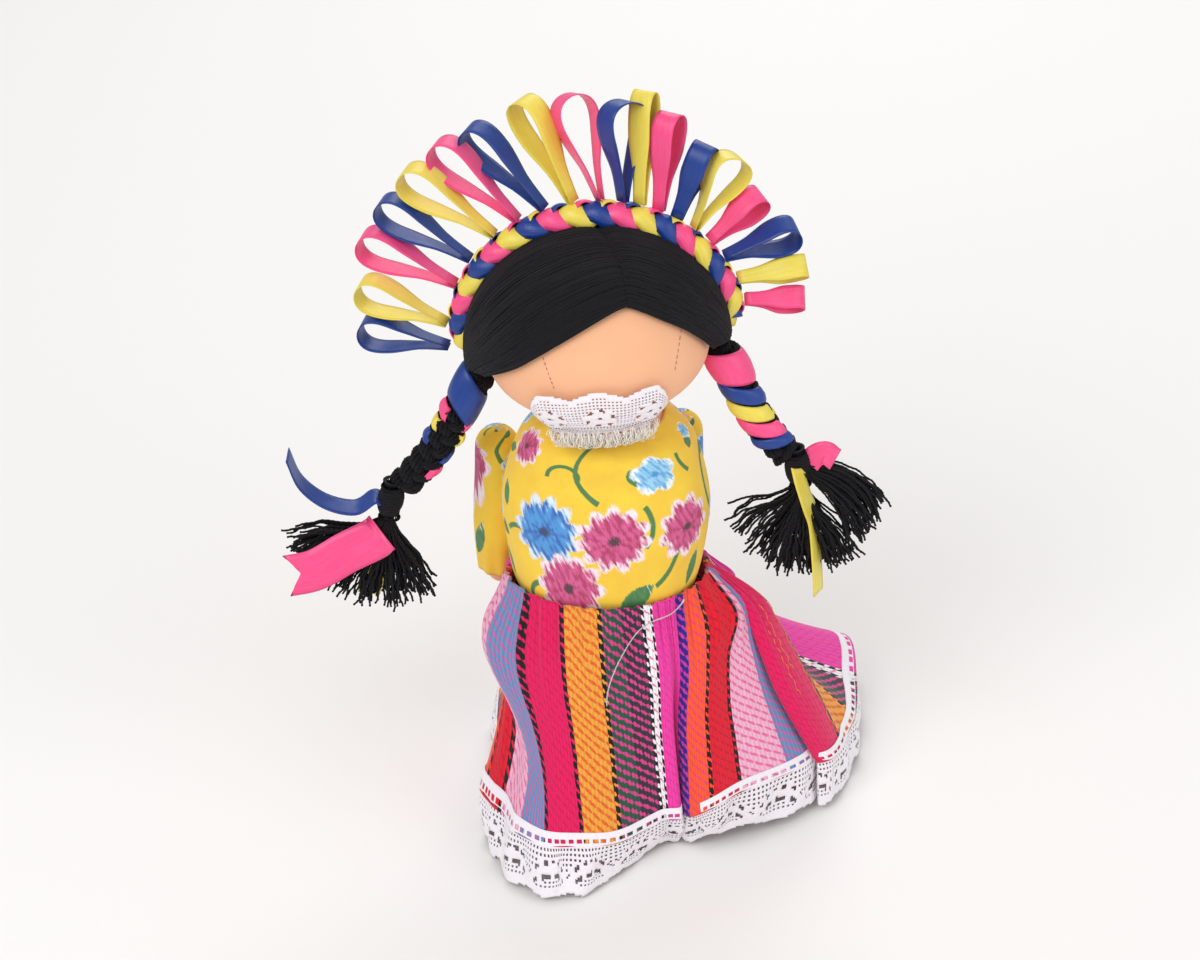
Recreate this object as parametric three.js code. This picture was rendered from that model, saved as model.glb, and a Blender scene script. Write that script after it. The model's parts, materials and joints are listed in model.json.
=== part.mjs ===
// Rag doll in a yellow printed blouse and a striped skirt, with ribbon loops round its head.
// Millimetres. +Z is up and the doll faces -Y. Left pieces are the ones at -X.
import * as THREE from "three";

// Heights above the floor
const HEM_TOP_Z = 14;
const TORSO_BOTTOM_Z = 62;
const BLOUSE_BOTTOM_Z = 72;
const WAIST_Z = 77;
const SHOULDER_Z = 121;
const NECK_TOP_Z = 134;
const HEAD_CENTRE_Z = 150.5;

// Gaps and cloth
const SEAM_GAP = 0.3;
const CLOTH = 0.8;
const BLOUSE_WALL = 1;

// Torso
const TORSO_HALF_WIDTH = 28;
const TORSO_DEPTH_SHARE = 0.76;
const WAIST_HALF_WIDTH = 25.5;
const SHOULDER_HALF_WIDTH = 21.5;
const NECKLINE_RADIUS = 15;
const NECK_RADIUS = 8;
const TURNING_HOLE = 3;

// Head
const HEAD_HALF_WIDTH = 30.5;
const HEAD_HALF_HEIGHT = 28;
const HEAD_DEPTH_SHARE = 0.92;
const HEAD_Y = -1;
const CHIN_FLAT = 9;
const CHIN_REACH = 20;
const HEAD_ROLL = 5.4;

// Hair and band
const HAIR_SIDE = 6.5;
const HAIR_TOP = 6.8;
const HAIR_FRONT = 3.2;
const PARTING_GAP = 0.4;
const BAND_RADIUS = 3;
const BAND_LEAN = 0.2;

// Collar and face
const COLLAR_BASE_Z = 135;
const COLLAR_SIDE_HEIGHT = 2;
const COLLAR_FRONT_HEIGHT = 19.5;
const COLLAR_STAND = 1.6;
const COLLAR_DROP = 3;
const LACE_WALL = 0.8;
const EYE_Z = 146.5;
const EYE_X = 12.6;
const EYE_SIZE = [3.6, 2.2];
const MOUTH_Z = 139.5;
const MOUTH_SIZE = [6, 1.8];
const STITCH_HEIGHT = 0.5;

// Ribbon loops
const LOOP_COUNT = 18;
const LOOP_LENGTH = 26;
const LOOP_OPENING = 8;
const LOOP_FIRST_ANGLE = 181;
const LOOP_LAST_ANGLE = 8;
const LOOP_TURN = 16;
const LOOP_LEAN = 12;
const RIBBON_WIDTH = 6.5;
const RIBBON_THICKNESS = 0.5;
const WIDE_RIBBON_WIDTH = 12;

// Braids and tassels
const BRAID_ROOT_Z = 143;
const BRAID_RADIUS = 5.2;
const BRAID_END_RADIUS = 4.6;
const BRAID_FORWARD = 6;
const BRAID_DROP = 33;
const WRAP_TURNS = 4;
const WRAP_WIDTH = 5;
const WRAP_THICKNESS = 0.6;
const TIE_RADIUS = 4.4;
const TASSEL_LENGTH = 35;
const TASSEL_THICKNESS = 9;
const TASSEL_NECK = 3.4;
const TASSEL_INNER_SHARE = 0.6;
const TASSEL_OUTER_SHARE = 0.92;

// Arms, measured in the arm's own frame, which hangs from its pivot
const SLEEVE_LENGTH = 42;
const SLEEVE_RADIUS = 7.5;
const SLEEVE_SHOULDER = 6.4;
const SLEEVE_MOUTH = 6.4;
const ARM_RADIUS = 4.3;
const WRIST_RADIUS = 3.3;
const HAND_RADIUS = 4.2;
const HAND_BACK = 14;
const ARM_PIVOT_Z = 109;

// Legs
const LEG_X = 11;
const LEG_RADIUS = 6.6;
const ANKLE_RADIUS = 4.6;
const SHOE_LENGTH = 21;
const SHOE_WIDTH = 11.5;
const SHOE_HEIGHT = 8;
const SHOE_HEEL = 6;
const SOLE_LIFT = 1.5;

// Skirt and hem lace
const SKIRT_WALL = 1;
const THREAD_DIAMETER = 0.5;

const sideSettings = [
  { name: "left", sign: -1, braidReach: 27.7, armAngle: 27, armLean: 3, spread: [60, 48], tilt: 12 },
  { name: "right", sign: 1, braidReach: 17.7, armAngle: 50, armLean: 14, spread: [54, 60], tilt: 4 },
];

const colours = {
  peach_cotton: 0xf3bc93,
  yellow_print: 0xf4c81e,
  stuffing: 0xf2f0ea,
  white_lace: 0xf4ecf2,
  striped_twill: 0xd6306c,
  black_yarn: 0x17161a,
  pink_satin: 0xff5c93,
  blue_satin: 0x1c4aa0,
  yellow_satin: 0xe8d24a,
  brown_floss: 0x4a2a20,
  red_floss: 0xc4303a,
  black_felt: 0x1c1a1c,
};
const loopColours = ["blue_satin", "yellow_satin", "pink_satin"];

const rad = THREE.MathUtils.degToRad;
const vec = (x, y, z) => new THREE.Vector3(x, y, z);
const doll = new THREE.Group();

function add(name, geometry, colour, parent) {
  const roughness = colour.endsWith("satin") ? 0.4 : 0.9;
  const look = new THREE.MeshStandardMaterial({ color: colours[colour], roughness, metalness: 0 });
  const mesh = new THREE.Mesh(geometry, look);
  mesh.name = name;
  parent.add(mesh);
  return mesh;
}

// A closed body from corners and triangles, turned so that its faces point out
function body(corners, faces) {
  let volume = 0;
  for (const [a, b, c] of faces) {
    volume += corners[a].dot(corners[b].clone().cross(corners[c]));
  }
  const order = volume < 0 ? ([a, b, c]) => [a, c, b] : (face) => face;
  const geometry = new THREE.BufferGeometry();
  const numbers = corners.flatMap((p) => p.toArray());
  geometry.setAttribute("position", new THREE.Float32BufferAttribute(numbers, 3));
  geometry.setIndex(faces.flatMap(order));
  geometry.computeVertexNormals();
  return geometry;
}

// Rings of as many points, each joined to the next. A joined loft closes on its first ring,
// and any other has its two ends closed
function loft(rings, joined = false) {
  const sides = rings[0].length;
  const corners = rings.flat().map((p) => p.clone());
  const faces = [];
  const steps = joined ? rings.length : rings.length - 1;
  for (let i = 0; i < steps; i += 1) {
    const a = i * sides;
    const b = ((i + 1) % rings.length) * sides;
    for (let j = 0; j < sides; j += 1) {
      const k = (j + 1) % sides;
      faces.push([a + j, a + k, b + k], [a + j, b + k, b + j]);
    }
  }
  if (!joined) {
    closeEnd(corners, faces, 0, sides, true);
    closeEnd(corners, faces, (rings.length - 1) * sides, sides, false);
  }
  return body(corners, faces);
}

function closeEnd(corners, faces, first, sides, flip) {
  const middle = vec(0, 0, 0);
  for (let j = 0; j < sides; j += 1) middle.addScaledVector(corners[first + j], 1 / sides);
  const centre = corners.push(middle) - 1;
  for (let j = 0; j < sides; j += 1) {
    const a = first + j;
    const b = first + ((j + 1) % sides);
    faces.push(flip ? [centre, b, a] : [centre, a, b]);
  }
}

// A curved slab from point(s, t, side), where side 0 is its inner face and side 1 its outer
function slab(point, across, along) {
  const corners = [];
  for (const side of [1, 0]) {
    for (let i = 0; i <= across; i += 1) {
      for (let j = 0; j <= along; j += 1) corners.push(point(i / across, j / along, side));
    }
  }
  const row = along + 1;
  const inner = (across + 1) * row;
  const faces = [];
  const quad = (a, b, c, d) => faces.push([a, b, c], [a, c, d]);
  for (let i = 0; i < across; i += 1) {
    for (let j = 0; j < along; j += 1) {
      const a = i * row + j;
      quad(a, a + row, a + row + 1, a + 1);
      quad(inner + a, inner + a + 1, inner + a + row + 1, inner + a + row);
    }
    const near = i * row;
    const far = near + along;
    quad(near, inner + near, inner + near + row, near + row);
    quad(far + row, inner + far + row, inner + far, far);
  }
  for (let j = 0; j < along; j += 1) {
    const end = across * row + j;
    quad(j + 1, inner + j + 1, inner + j, j);
    quad(end, inner + end, inner + end + 1, end + 1);
  }
  return body(corners, faces);
}

function ring(z, halfWidth, halfDepth, sides, x = 0, y = 0) {
  const points = [];
  for (let i = 0; i < sides; i += 1) {
    const a = (2 * Math.PI * i) / sides;
    points.push(vec(x + halfWidth * Math.cos(a), y + halfDepth * Math.sin(a), z));
  }
  return points;
}

// Profiles are runs of (radius, height) from the bottom up
function smooth(pairs, steps) {
  return new THREE.SplineCurve(pairs.map(([r, z]) => new THREE.Vector2(r, z))).getPoints(steps);
}

function inset(profile, distance) {
  return profile.map((p, i) => {
    const before = profile[Math.max(i - 1, 0)];
    const after = profile[Math.min(i + 1, profile.length - 1)];
    const along = after.clone().sub(before).normalize();
    return new THREE.Vector2(p.x - along.y * distance, p.y + along.x * distance);
  });
}

function turned(profile, sides, depthShare = () => 1, y = 0) {
  return profile.map((p) => ring(p.y, p.x, p.x * depthShare(p.y), sides, 0, y));
}

// A sewn bag: its outside from the far end to the opening, then its inside back again
function bag(outside, inside) {
  return loft([...outside].reverse().concat(inside));
}

function sleeveShell(outside, inside) {
  return loft([...outside, ...[...inside].reverse()], true);
}

// A round limb that swells along a path in its own X = 0 plane
function limbRings(path, radii, sides) {
  const count = radii.length;
  return radii.map((radius, i) => {
    const t = i / (count - 1);
    const centre = path.getPointAt(t);
    const along = path.getTangentAt(t);
    const up = vec(1, 0, 0).cross(along).normalize();
    const points = [];
    for (let j = 0; j < sides; j += 1) {
      const a = (2 * Math.PI * j) / sides;
      const side = vec(radius * Math.cos(a), 0, 0);
      points.push(centre.clone().add(side).addScaledVector(up, radius * Math.sin(a)));
    }
    return points;
  });
}

// A flat ribbon along points, with the direction of its width at each
function ribbon(points, widths, width, thickness) {
  const rings = points.map((p, i) => {
    const before = points[Math.max(i - 1, 0)];
    const after = points[Math.min(i + 1, points.length - 1)];
    const along = after.clone().sub(before).normalize();
    const across = widths[i].clone().addScaledVector(along, -widths[i].dot(along)).normalize();
    const face = along.clone().cross(across);
    const corner = (u, v) => p.clone()
      .addScaledVector(across, (u * width) / 2)
      .addScaledVector(face, (v * thickness) / 2);
    return [corner(-1, -1), corner(1, -1), corner(1, 1), corner(-1, 1)];
  });
  return loft(rings);
}

// Torso: a stuffed bag with a domed neck, which the head turns on
const neckPivotZ = NECK_TOP_Z - NECK_RADIUS;
const torsoSide = smooth(
  [
    [TURNING_HOLE, TORSO_BOTTOM_Z],
    [16, TORSO_BOTTOM_Z],
    [22, TORSO_BOTTOM_Z + 5],
    [WAIST_HALF_WIDTH, WAIST_Z],
    [TORSO_HALF_WIDTH - 0.6, WAIST_Z + 14],
    [TORSO_HALF_WIDTH, SHOULDER_Z - 18],
    [TORSO_HALF_WIDTH - 2.6, SHOULDER_Z - 6],
    [SHOULDER_HALF_WIDTH, SHOULDER_Z + 2.5],
    [NECKLINE_RADIUS, SHOULDER_Z + 8],
  ],
  11,
);
const TORSO_SIDES = 20;

function dome(radius, centreZ, degrees) {
  return degrees.map((angle) => {
    const a = rad(angle);
    return new THREE.Vector2(radius * Math.cos(a), centreZ + radius * Math.sin(a));
  });
}

function torsoDepth(z) {
  const t = THREE.MathUtils.smoothstep(z, SHOULDER_Z - 8, SHOULDER_Z + 8);
  return THREE.MathUtils.lerp(TORSO_DEPTH_SHARE, 1, t);
}

function makeTorso() {
  const outside = [...torsoSide, ...dome(NECK_RADIUS, neckPivotZ, [30, 50, 70, 86])];
  const inside = inset(outside, CLOTH);
  const stuffing = inset(outside, CLOTH + SEAM_GAP);
  const wrap = (profile) => turned(profile, TORSO_SIDES, torsoDepth);
  add("torso_skin", bag(wrap(outside), wrap(inside)), "peach_cotton", doll);
  add("torso_stuffing", loft(wrap(stuffing)), "stuffing", doll);
}

function blouseProfile(distance) {
  const covered = torsoSide.filter((p) => p.y >= BLOUSE_BOTTOM_Z);
  return inset(covered, -distance);
}

function makeBlouse() {
  const outside = turned(blouseProfile(SEAM_GAP + BLOUSE_WALL), TORSO_SIDES, torsoDepth);
  const inside = turned(blouseProfile(SEAM_GAP), TORSO_SIDES, torsoDepth);
  add("blouse", sleeveShell(outside, inside), "yellow_print", doll);
}

// Skirt: gathered at the waist, falling to a hem with the folds that the cloth took. Each fold is
// a line down the cloth, with its end at the hem as shares of the hem's half width and half depth,
// how far that end rises above the hem's usual height, and where the lace below it touches the floor
const HEM_HALF_WIDTH = 75;
const HEM_HALF_DEPTH = 52;
const HEM_STEP = 5;
const hemFolds = [
  [-0.48, -0.46, 0.2, -0.47, -0.52], [-0.42, -0.63, 0.2, -0.44, -0.69], [-0.37, -0.79, 0.3, -0.4, -0.85],
  [-0.23, -0.97, 0.4, -0.24, -1.11], [-0.09, -0.97, 0.3, -0.09, -1.08], [0.05, -0.91, 0, 0.05, -0.88],
  [0.2, -0.74, 0.1, 0.19, -0.64], [0.24, -0.72, 0.1, 0.235, -0.61], [0.275, -0.66, 0.1, 0.275, -0.59],
  [0.315, -0.74, 0.4, 0.315, -0.61], [0.39, -0.76, 1.2, 0.38, -0.61], [0.47, -0.64, 1.3, 0.47, -0.56],
  [0.67, -0.42, 0.8, 0.67, -0.47], [0.79, -0.34, 1.2, 0.81, -0.4], [0.87, -0.19, 1, 0.9, -0.24],
  [0.91, -0.04, 0.5, 0.95, -0.07], [0.95, 0.14, 0.3, 1, 0.15], [1, 0.39, 0.3, 1.05, 0.44],
  [1.01, 0.6, 0.6, 1.06, 0.69], [1, 0.81, 1, 1.05, 0.88], [0.85, 0.96, 0.6, 0.89, 1.04],
  [0.59, 0.88, 0, 0.61, 0.98], [0.37, 1, 0, 0.4, 1.08], [0.11, 0.88, 0, 0.12, 0.98],
  [-0.13, 0.92, 0, -0.15, 1.02], [-0.36, 0.84, 0, -0.38, 0.9], [-0.46, 0.53, 0, -0.48, 0.57],
  [-0.45, 0.2, 0, -0.47, 0.2], [-0.445, -0.1, 0, -0.465, -0.1], [-0.45, -0.28, 0, -0.46, -0.32],
];
const SKIRT_SIDES = 3 * hemFolds.length;
const SKIRT_LEVELS = 7;

function foldCurve(point) {
  const curve = new THREE.CatmullRomCurve3(hemFolds.map(point), true, "catmullrom", 0.5);
  return curve.getPoints(SKIRT_SIDES).slice(0, SKIRT_SIDES);
}

const hemPoints = foldCurve(([x, y, rise]) => {
  return vec(x * HEM_HALF_WIDTH, y * HEM_HALF_DEPTH, HEM_TOP_Z + rise * HEM_STEP);
});
const footPoints = foldCurve(([, , , x, y]) => vec(x * HEM_HALF_WIDTH, y * HEM_HALF_DEPTH, 0));
const waistHalfWidth = WAIST_HALF_WIDTH + SEAM_GAP + BLOUSE_WALL + SEAM_GAP;

// How late the cloth leaves the waist: soon at the right, late at the left
function flareStart(angle) {
  const left = Math.max(0, -Math.cos(angle)) ** 2;
  const back = Math.max(0, Math.sin(angle)) ** 2;
  const right = Math.exp(-(((angle - 0.05) / 0.5) ** 2));
  return 1.08 + 1.4 * left + 0.3 * back - 0.35 * right;
}

function skirtPoint(hem, t, out) {
  const angle = Math.atan2(hem.y, hem.x);
  const waistWidth = waistHalfWidth + 0.3;
  const waist = vec(waistWidth * Math.cos(angle), waistWidth * 0.8 * Math.sin(angle), WAIST_Z);
  const share = t ** flareStart(angle);
  const point = waist.clone().lerp(hem, share);
  const gather = 1.6 * Math.sin(Math.PI * Math.min(1, t * 1.6)) ** 2;
  const outward = vec(Math.cos(angle), Math.sin(angle), 0);
  point.addScaledVector(outward, gather + out);
  point.z = THREE.MathUtils.lerp(WAIST_Z, hem.z, t);
  return point;
}

function skirtRings(out) {
  const rings = [];
  for (let i = 0; i <= SKIRT_LEVELS; i += 1) {
    rings.push(hemPoints.map((hem) => skirtPoint(hem, i / SKIRT_LEVELS, out)));
  }
  return rings;
}

// The lace hangs from the hem, 0, to its foot on the floor, 1
function laceRing(t, out) {
  return hemPoints.map((hem, i) => {
    const angle = Math.atan2(hem.y, hem.x);
    const top = skirtPoint(hem, 1, out);
    top.z = hem.z - SEAM_GAP;
    const foot = footPoints[i].clone().add(vec(out * Math.cos(angle), out * Math.sin(angle), 0));
    return top.lerp(foot, t);
  });
}

function makeSkirt() {
  add("skirt", sleeveShell(skirtRings(SKIRT_WALL), skirtRings(0)), "striped_twill", doll);
  const levels = [0, 0.5, 1];
  const outside = levels.map((t) => laceRing(t, SKIRT_WALL));
  const inside = levels.map((t) => laceRing(t, SKIRT_WALL - LACE_WALL));
  add("hem_lace", sleeveShell(outside, inside), "white_lace", doll);
}

// Loose thread: it leaves the waist seam, loops to the left and hangs down the skirt
const threadRoute = [
  [22, -15.73, 76], [21.7, -16.27, 75.6], [20.5, -17.78, 74.8], [18.5, -19.75, 74],
  [16, -21.22, 73.6], [13.5, -22.18, 73.2], [11, -23.42, 72.4], [8.8, -24.63, 71], [7, -25.88, 69],
  [5.4, -27.29, 66.8], [4, -28.58, 64.6], [2.7, -30.03, 62.4], [1.6, -31.4, 60], [0.8, -32.55, 57.6],
  [0.3, -33.58, 55.2], [0.2, -34.59, 52.6],
];

function makeThread() {
  const route = new THREE.CatmullRomCurve3(threadRoute.map(([x, y, z]) => vec(x, y, z)));
  const section = new THREE.Shape();
  section.absarc(0, 0, THREAD_DIAMETER / 2, 0, 2 * Math.PI);
  const steps = Math.round(route.getLength() / (2.6 * THREAD_DIAMETER));
  const settings = { steps, curveSegments: 4, extrudePath: route };
  add("loose_thread", new THREE.ExtrudeGeometry(section, settings), "white_lace", doll);
}

// Head: an egg with a small flat under its chin. It is cocked a little to the left
const head = new THREE.Group();
head.position.z = neckPivotZ;
head.rotation.y = rad(-HEAD_ROLL);
doll.add(head);
const headBottomZ = NECK_TOP_Z + SEAM_GAP - neckPivotZ;
const headMiddleZ = HEAD_CENTRE_Z - neckPivotZ;

const jaw = new THREE.CubicBezierCurve(
  new THREE.Vector2(CHIN_FLAT, headBottomZ),
  new THREE.Vector2(CHIN_REACH, headBottomZ),
  new THREE.Vector2(HEAD_HALF_WIDTH, headMiddleZ - 9),
  new THREE.Vector2(HEAD_HALF_WIDTH, headMiddleZ),
);
const skull = [15, 32, 49, 66, 82].map((angle) => {
  const a = rad(angle);
  return new THREE.Vector2(HEAD_HALF_WIDTH * Math.cos(a), headMiddleZ + HEAD_HALF_HEIGHT * Math.sin(a));
});
const headProfile = [new THREE.Vector2(TURNING_HOLE, headBottomZ), ...jaw.getPoints(5), ...skull];
const headDepth = () => HEAD_DEPTH_SHARE;

function profileRadius(profile, z) {
  for (let i = 1; i < profile.length; i += 1) {
    if (profile[i].y >= z) {
      const t = (z - profile[i - 1].y) / (profile[i].y - profile[i - 1].y || 1);
      return THREE.MathUtils.lerp(profile[i - 1].x, profile[i].x, THREE.MathUtils.clamp(t, 0, 1));
    }
  }
  return 0;
}

function faceRadius(z, out) {
  return profileRadius(inset(headProfile, -out), z);
}

function makeHead() {
  const sides = 20;
  const inside = inset(headProfile, CLOTH);
  const stuffing = inset(headProfile, CLOTH + SEAM_GAP);
  add("head_skin", bag(turned(headProfile, sides, headDepth, HEAD_Y), turned(inside, sides, headDepth, HEAD_Y)),
    "peach_cotton", head);
  add("head_stuffing", loft(turned(stuffing, sides, headDepth, HEAD_Y)), "stuffing", head);
}

// A patch of stitches laid flat on the face
function makeStitches(name, x, z, [width, height], colour) {
  const shape = new THREE.Shape();
  shape.absellipse(0, 0, width / 2, height / 2, 0, 2 * Math.PI);
  const geometry = new THREE.ExtrudeGeometry(shape, { depth: STITCH_HEIGHT, bevelEnabled: false, curveSegments: 6 });
  const radius = faceRadius(z - neckPivotZ, SEAM_GAP + 0.1);
  const angle = Math.asin(x / radius);
  const y = HEAD_Y - radius * HEAD_DEPTH_SHARE * Math.cos(angle);
  const slope = faceRadius(z + 1 - neckPivotZ, 0) - faceRadius(z - 1 - neckPivotZ, 0);
  const mesh = add(name, geometry, colour, head);
  mesh.position.set(x, y, z - neckPivotZ);
  const normal = vec(Math.sin(angle), -Math.cos(angle) / HEAD_DEPTH_SHARE, -slope / 2).normalize();
  mesh.quaternion.setFromUnitVectors(vec(0, 0, 1), normal);
}

// Collar: lace round the neck seam that stands up in front of the chin
function collarPoint(s, t, side) {
  const a = 2 * Math.PI * s;
  const front = Math.max(0, -Math.sin(a)) ** COLLAR_DROP;
  const height = THREE.MathUtils.lerp(COLLAR_SIDE_HEIGHT, COLLAR_FRONT_HEIGHT, front);
  const z = COLLAR_BASE_Z - neckPivotZ + height * t;
  const radius = faceRadius(z, SEAM_GAP + 0.2 + COLLAR_STAND * Math.min(1, 4 * t) + side * LACE_WALL);
  return vec(radius * Math.cos(a), HEAD_Y + radius * HEAD_DEPTH_SHARE * Math.sin(a), z);
}

function makeCollar() {
  const sides = 32;
  const rows = [0, 0.15, 0.35, 0.65, 1];
  const face = (side) => rows.map((t) => {
    const points = [];
    for (let i = 0; i < sides; i += 1) points.push(collarPoint(i / sides, t, side));
    return points;
  });
  add("collar_lace", sleeveShell(face(1), face(0)), "white_lace", head);
}

// Hair: directions from the middle of the head, laid on two ovals
const hairInner = vec(HEAD_HALF_WIDTH + SEAM_GAP + 0.1, HEAD_HALF_WIDTH * HEAD_DEPTH_SHARE + SEAM_GAP + 0.3,
  HEAD_HALF_HEIGHT + SEAM_GAP + 0.1);
const hairOuter = vec(HEAD_HALF_WIDTH + HAIR_SIDE, HEAD_HALF_WIDTH * HEAD_DEPTH_SHARE + HAIR_FRONT,
  HEAD_HALF_HEIGHT + HAIR_TOP);
const hairCentre = vec(0, HEAD_Y, headMiddleZ);

function hairPoint(direction, side) {
  const size = side ? hairOuter : hairInner;
  return hairCentre.clone().add(direction.clone().normalize().multiply(size));
}

function directions(list) {
  return new THREE.CatmullRomCurve3(list.map(([x, y, z]) => vec(x, y, z).normalize()));
}

function hairPatch(front, back, across, along, shift) {
  return slab((s, t, side) => {
    const direction = front.getPoint(s).lerp(back.getPoint(s), t);
    return hairPoint(direction, side).add(vec(shift, 0, 0));
  }, across, along);
}

function makeHair() {
  const crown = [0.02, BAND_LEAN - 0.02, 0.98];
  const apex = [0.14, -0.66, 0.72];
  const leftFront = directions([apex, [-0.34, -0.8, 0.5], [-0.66, -0.7, 0.25], [-0.93, -0.34, -0.03]]);
  const leftBack = directions([crown, [-0.5, BAND_LEAN, 0.84], [-0.85, BAND_LEAN, 0.45], [-0.98, BAND_LEAN, 0.03]]);
  add("hair_left", hairPatch(leftFront, leftBack, 8, 8, -PARTING_GAP / 2), "black_yarn", head);
  const rightFront = directions([apex, [0.45, -0.74, 0.56], [0.76, -0.58, 0.34], [0.95, -0.28, 0.02]]);
  const rightBack = directions([crown, [0.5, BAND_LEAN, 0.84], [0.85, BAND_LEAN, 0.45], [0.98, BAND_LEAN, 0.06]]);
  add("hair_right", hairPatch(rightFront, rightBack, 8, 8, PARTING_GAP / 2), "black_yarn", head);
  const upper = directions([[-0.97, 0.28, 0], [-0.84, 0.32, 0.45], [-0.45, 0.36, 0.82], [0, 0.36, 0.93],
    [0.45, 0.36, 0.82], [0.84, 0.32, 0.45], [0.97, 0.28, 0]]);
  const nape = directions([[-0.93, 0.36, -0.12], [-0.72, 0.66, -0.34], [-0.4, 0.86, -0.36], [0, 0.92, -0.36],
    [0.4, 0.86, -0.36], [0.72, 0.66, -0.34], [0.93, 0.36, -0.12]]);
  add("hair_back", hairPatch(upper, nape, 12, 6, 0), "black_yarn", head);
}

// Band: a rope of three ribbons over the crown, on the join of the front and back hair
function bandPoint(degrees, out) {
  const a = rad(degrees);
  const direction = vec(Math.cos(a), BAND_LEAN + 0.04, Math.sin(a)).normalize();
  const surface = hairPoint(direction, 1);
  return surface.addScaledVector(direction, BAND_RADIUS + SEAM_GAP + out);
}

function makeBand() {
  const points = [];
  for (let i = 0; i <= 12; i += 1) points.push(bandPoint(181 - (182 * i) / 12, 0));
  const route = new THREE.CatmullRomCurve3(points);
  const section = new THREE.Shape();
  section.absarc(0, 0, BAND_RADIUS, 0, 2 * Math.PI);
  add("headband", new THREE.ExtrudeGeometry(section, { steps: 24, curveSegments: 5, extrudePath: route }),
    "pink_satin", head);
}

// Ribbon loops: a teardrop each, standing on the band like the rays of a fan
function makeLoops() {
  for (let i = 0; i < LOOP_COUNT; i += 1) {
    const angle = THREE.MathUtils.lerp(LOOP_FIRST_ANGLE, LOOP_LAST_ANGLE, i / (LOOP_COUNT - 1));
    const a = rad(angle);
    const out = vec(Math.cos(a), Math.sin(rad(LOOP_LEAN)), Math.sin(a)).normalize();
    const flat = vec(0, 1, 0).addScaledVector(out, -out.y).normalize();
    const across = out.clone().cross(flat);
    const width = flat.clone().applyAxisAngle(out, rad(LOOP_TURN));
    const opening = across.clone().applyAxisAngle(out, rad(LOOP_TURN));
    const foot = bandPoint(angle, 0).addScaledVector(out, BAND_RADIUS + SEAM_GAP + 0.2);
    const points = [];
    const widths = [];
    const steps = 14;
    for (let j = 0; j <= steps; j += 1) {
      const u = -1 + (2 * j) / steps;
      const rise = LOOP_LENGTH * Math.cos((u * Math.PI) / 2) ** 0.62;
      const swing = (LOOP_OPENING / 2) * Math.sin(u * Math.PI) + u * 0.65;
      points.push(foot.clone().addScaledVector(out, rise).addScaledVector(opening, swing));
      widths.push(width);
    }
    const geometry = ribbon(points, widths, RIBBON_WIDTH, RIBBON_THICKNESS);
    const number = String(i + 1).padStart(2, "0");
    add(`ribbon_loop_${number}`, geometry, loopColours[i % loopColours.length], head);
  }
}

// Braid: round at its root, where it swings, and bound with a winding ribbon
function braidPath({ sign, braidReach }) {
  const rootZ = BRAID_ROOT_Z - neckPivotZ;
  const rootX = faceRadius(rootZ, SEAM_GAP + BRAID_RADIUS);
  const start = vec(sign * rootX, HEAD_Y, rootZ);
  const end = vec(sign * (rootX + braidReach), HEAD_Y - BRAID_FORWARD, rootZ - BRAID_DROP);
  const bend = start.clone().lerp(end, 0.5).add(vec(sign * -1.5, 0, -1.5));
  return new THREE.CatmullRomCurve3([start, bend, end]);
}

function braidRing(path, t, radius, sides) {
  const centre = path.getPointAt(t);
  const along = path.getTangentAt(t);
  const front = vec(0, 1, 0).addScaledVector(along, -along.y).normalize();
  const side = along.clone().cross(front);
  const points = [];
  for (let j = 0; j < sides; j += 1) {
    const a = (2 * Math.PI * j) / sides;
    points.push(centre.clone()
      .addScaledVector(front, radius * Math.cos(a))
      .addScaledVector(side, radius * Math.sin(a)));
  }
  return points;
}

function braidRadius(t) {
  return THREE.MathUtils.lerp(BRAID_RADIUS, BRAID_END_RADIUS, t);
}

function makeBraid(side) {
  const path = braidPath(side);
  const length = path.getLength();
  const last = 1 - (TIE_RADIUS + SEAM_GAP + 0.1) / length;
  const back = path.getTangentAt(0).negate();
  const rings = [80, 60, 40, 20].map((angle) => {
    const ringPoints = braidRing(path, 0, BRAID_RADIUS * Math.cos(rad(angle)), 10);
    return ringPoints.map((p) => p.addScaledVector(back, BRAID_RADIUS * Math.sin(rad(angle))));
  });
  for (let i = 0; i <= 8; i += 1) {
    const t = (last * i) / 8;
    rings.push(braidRing(path, t, braidRadius(t), 10));
  }
  add(`braid_${side.name}`, loft(rings), "black_yarn", head);
  const points = [];
  const widths = [];
  const steps = WRAP_TURNS * 10;
  for (let i = 0; i <= steps; i += 1) {
    const t = 0.06 + ((last - 0.12) * i) / steps;
    const around = braidRing(path, t, braidRadius(t) + SEAM_GAP + WRAP_THICKNESS, 10);
    points.push(around[i % 10]);
    widths.push(path.getTangentAt(t));
  }
  const wrap = ribbon(points, widths, WRAP_WIDTH, WRAP_THICKNESS);
  add(`braid_ribbon_${side.name}`, wrap, "blue_satin", head);
  return path.getPointAt(1);
}

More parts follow.
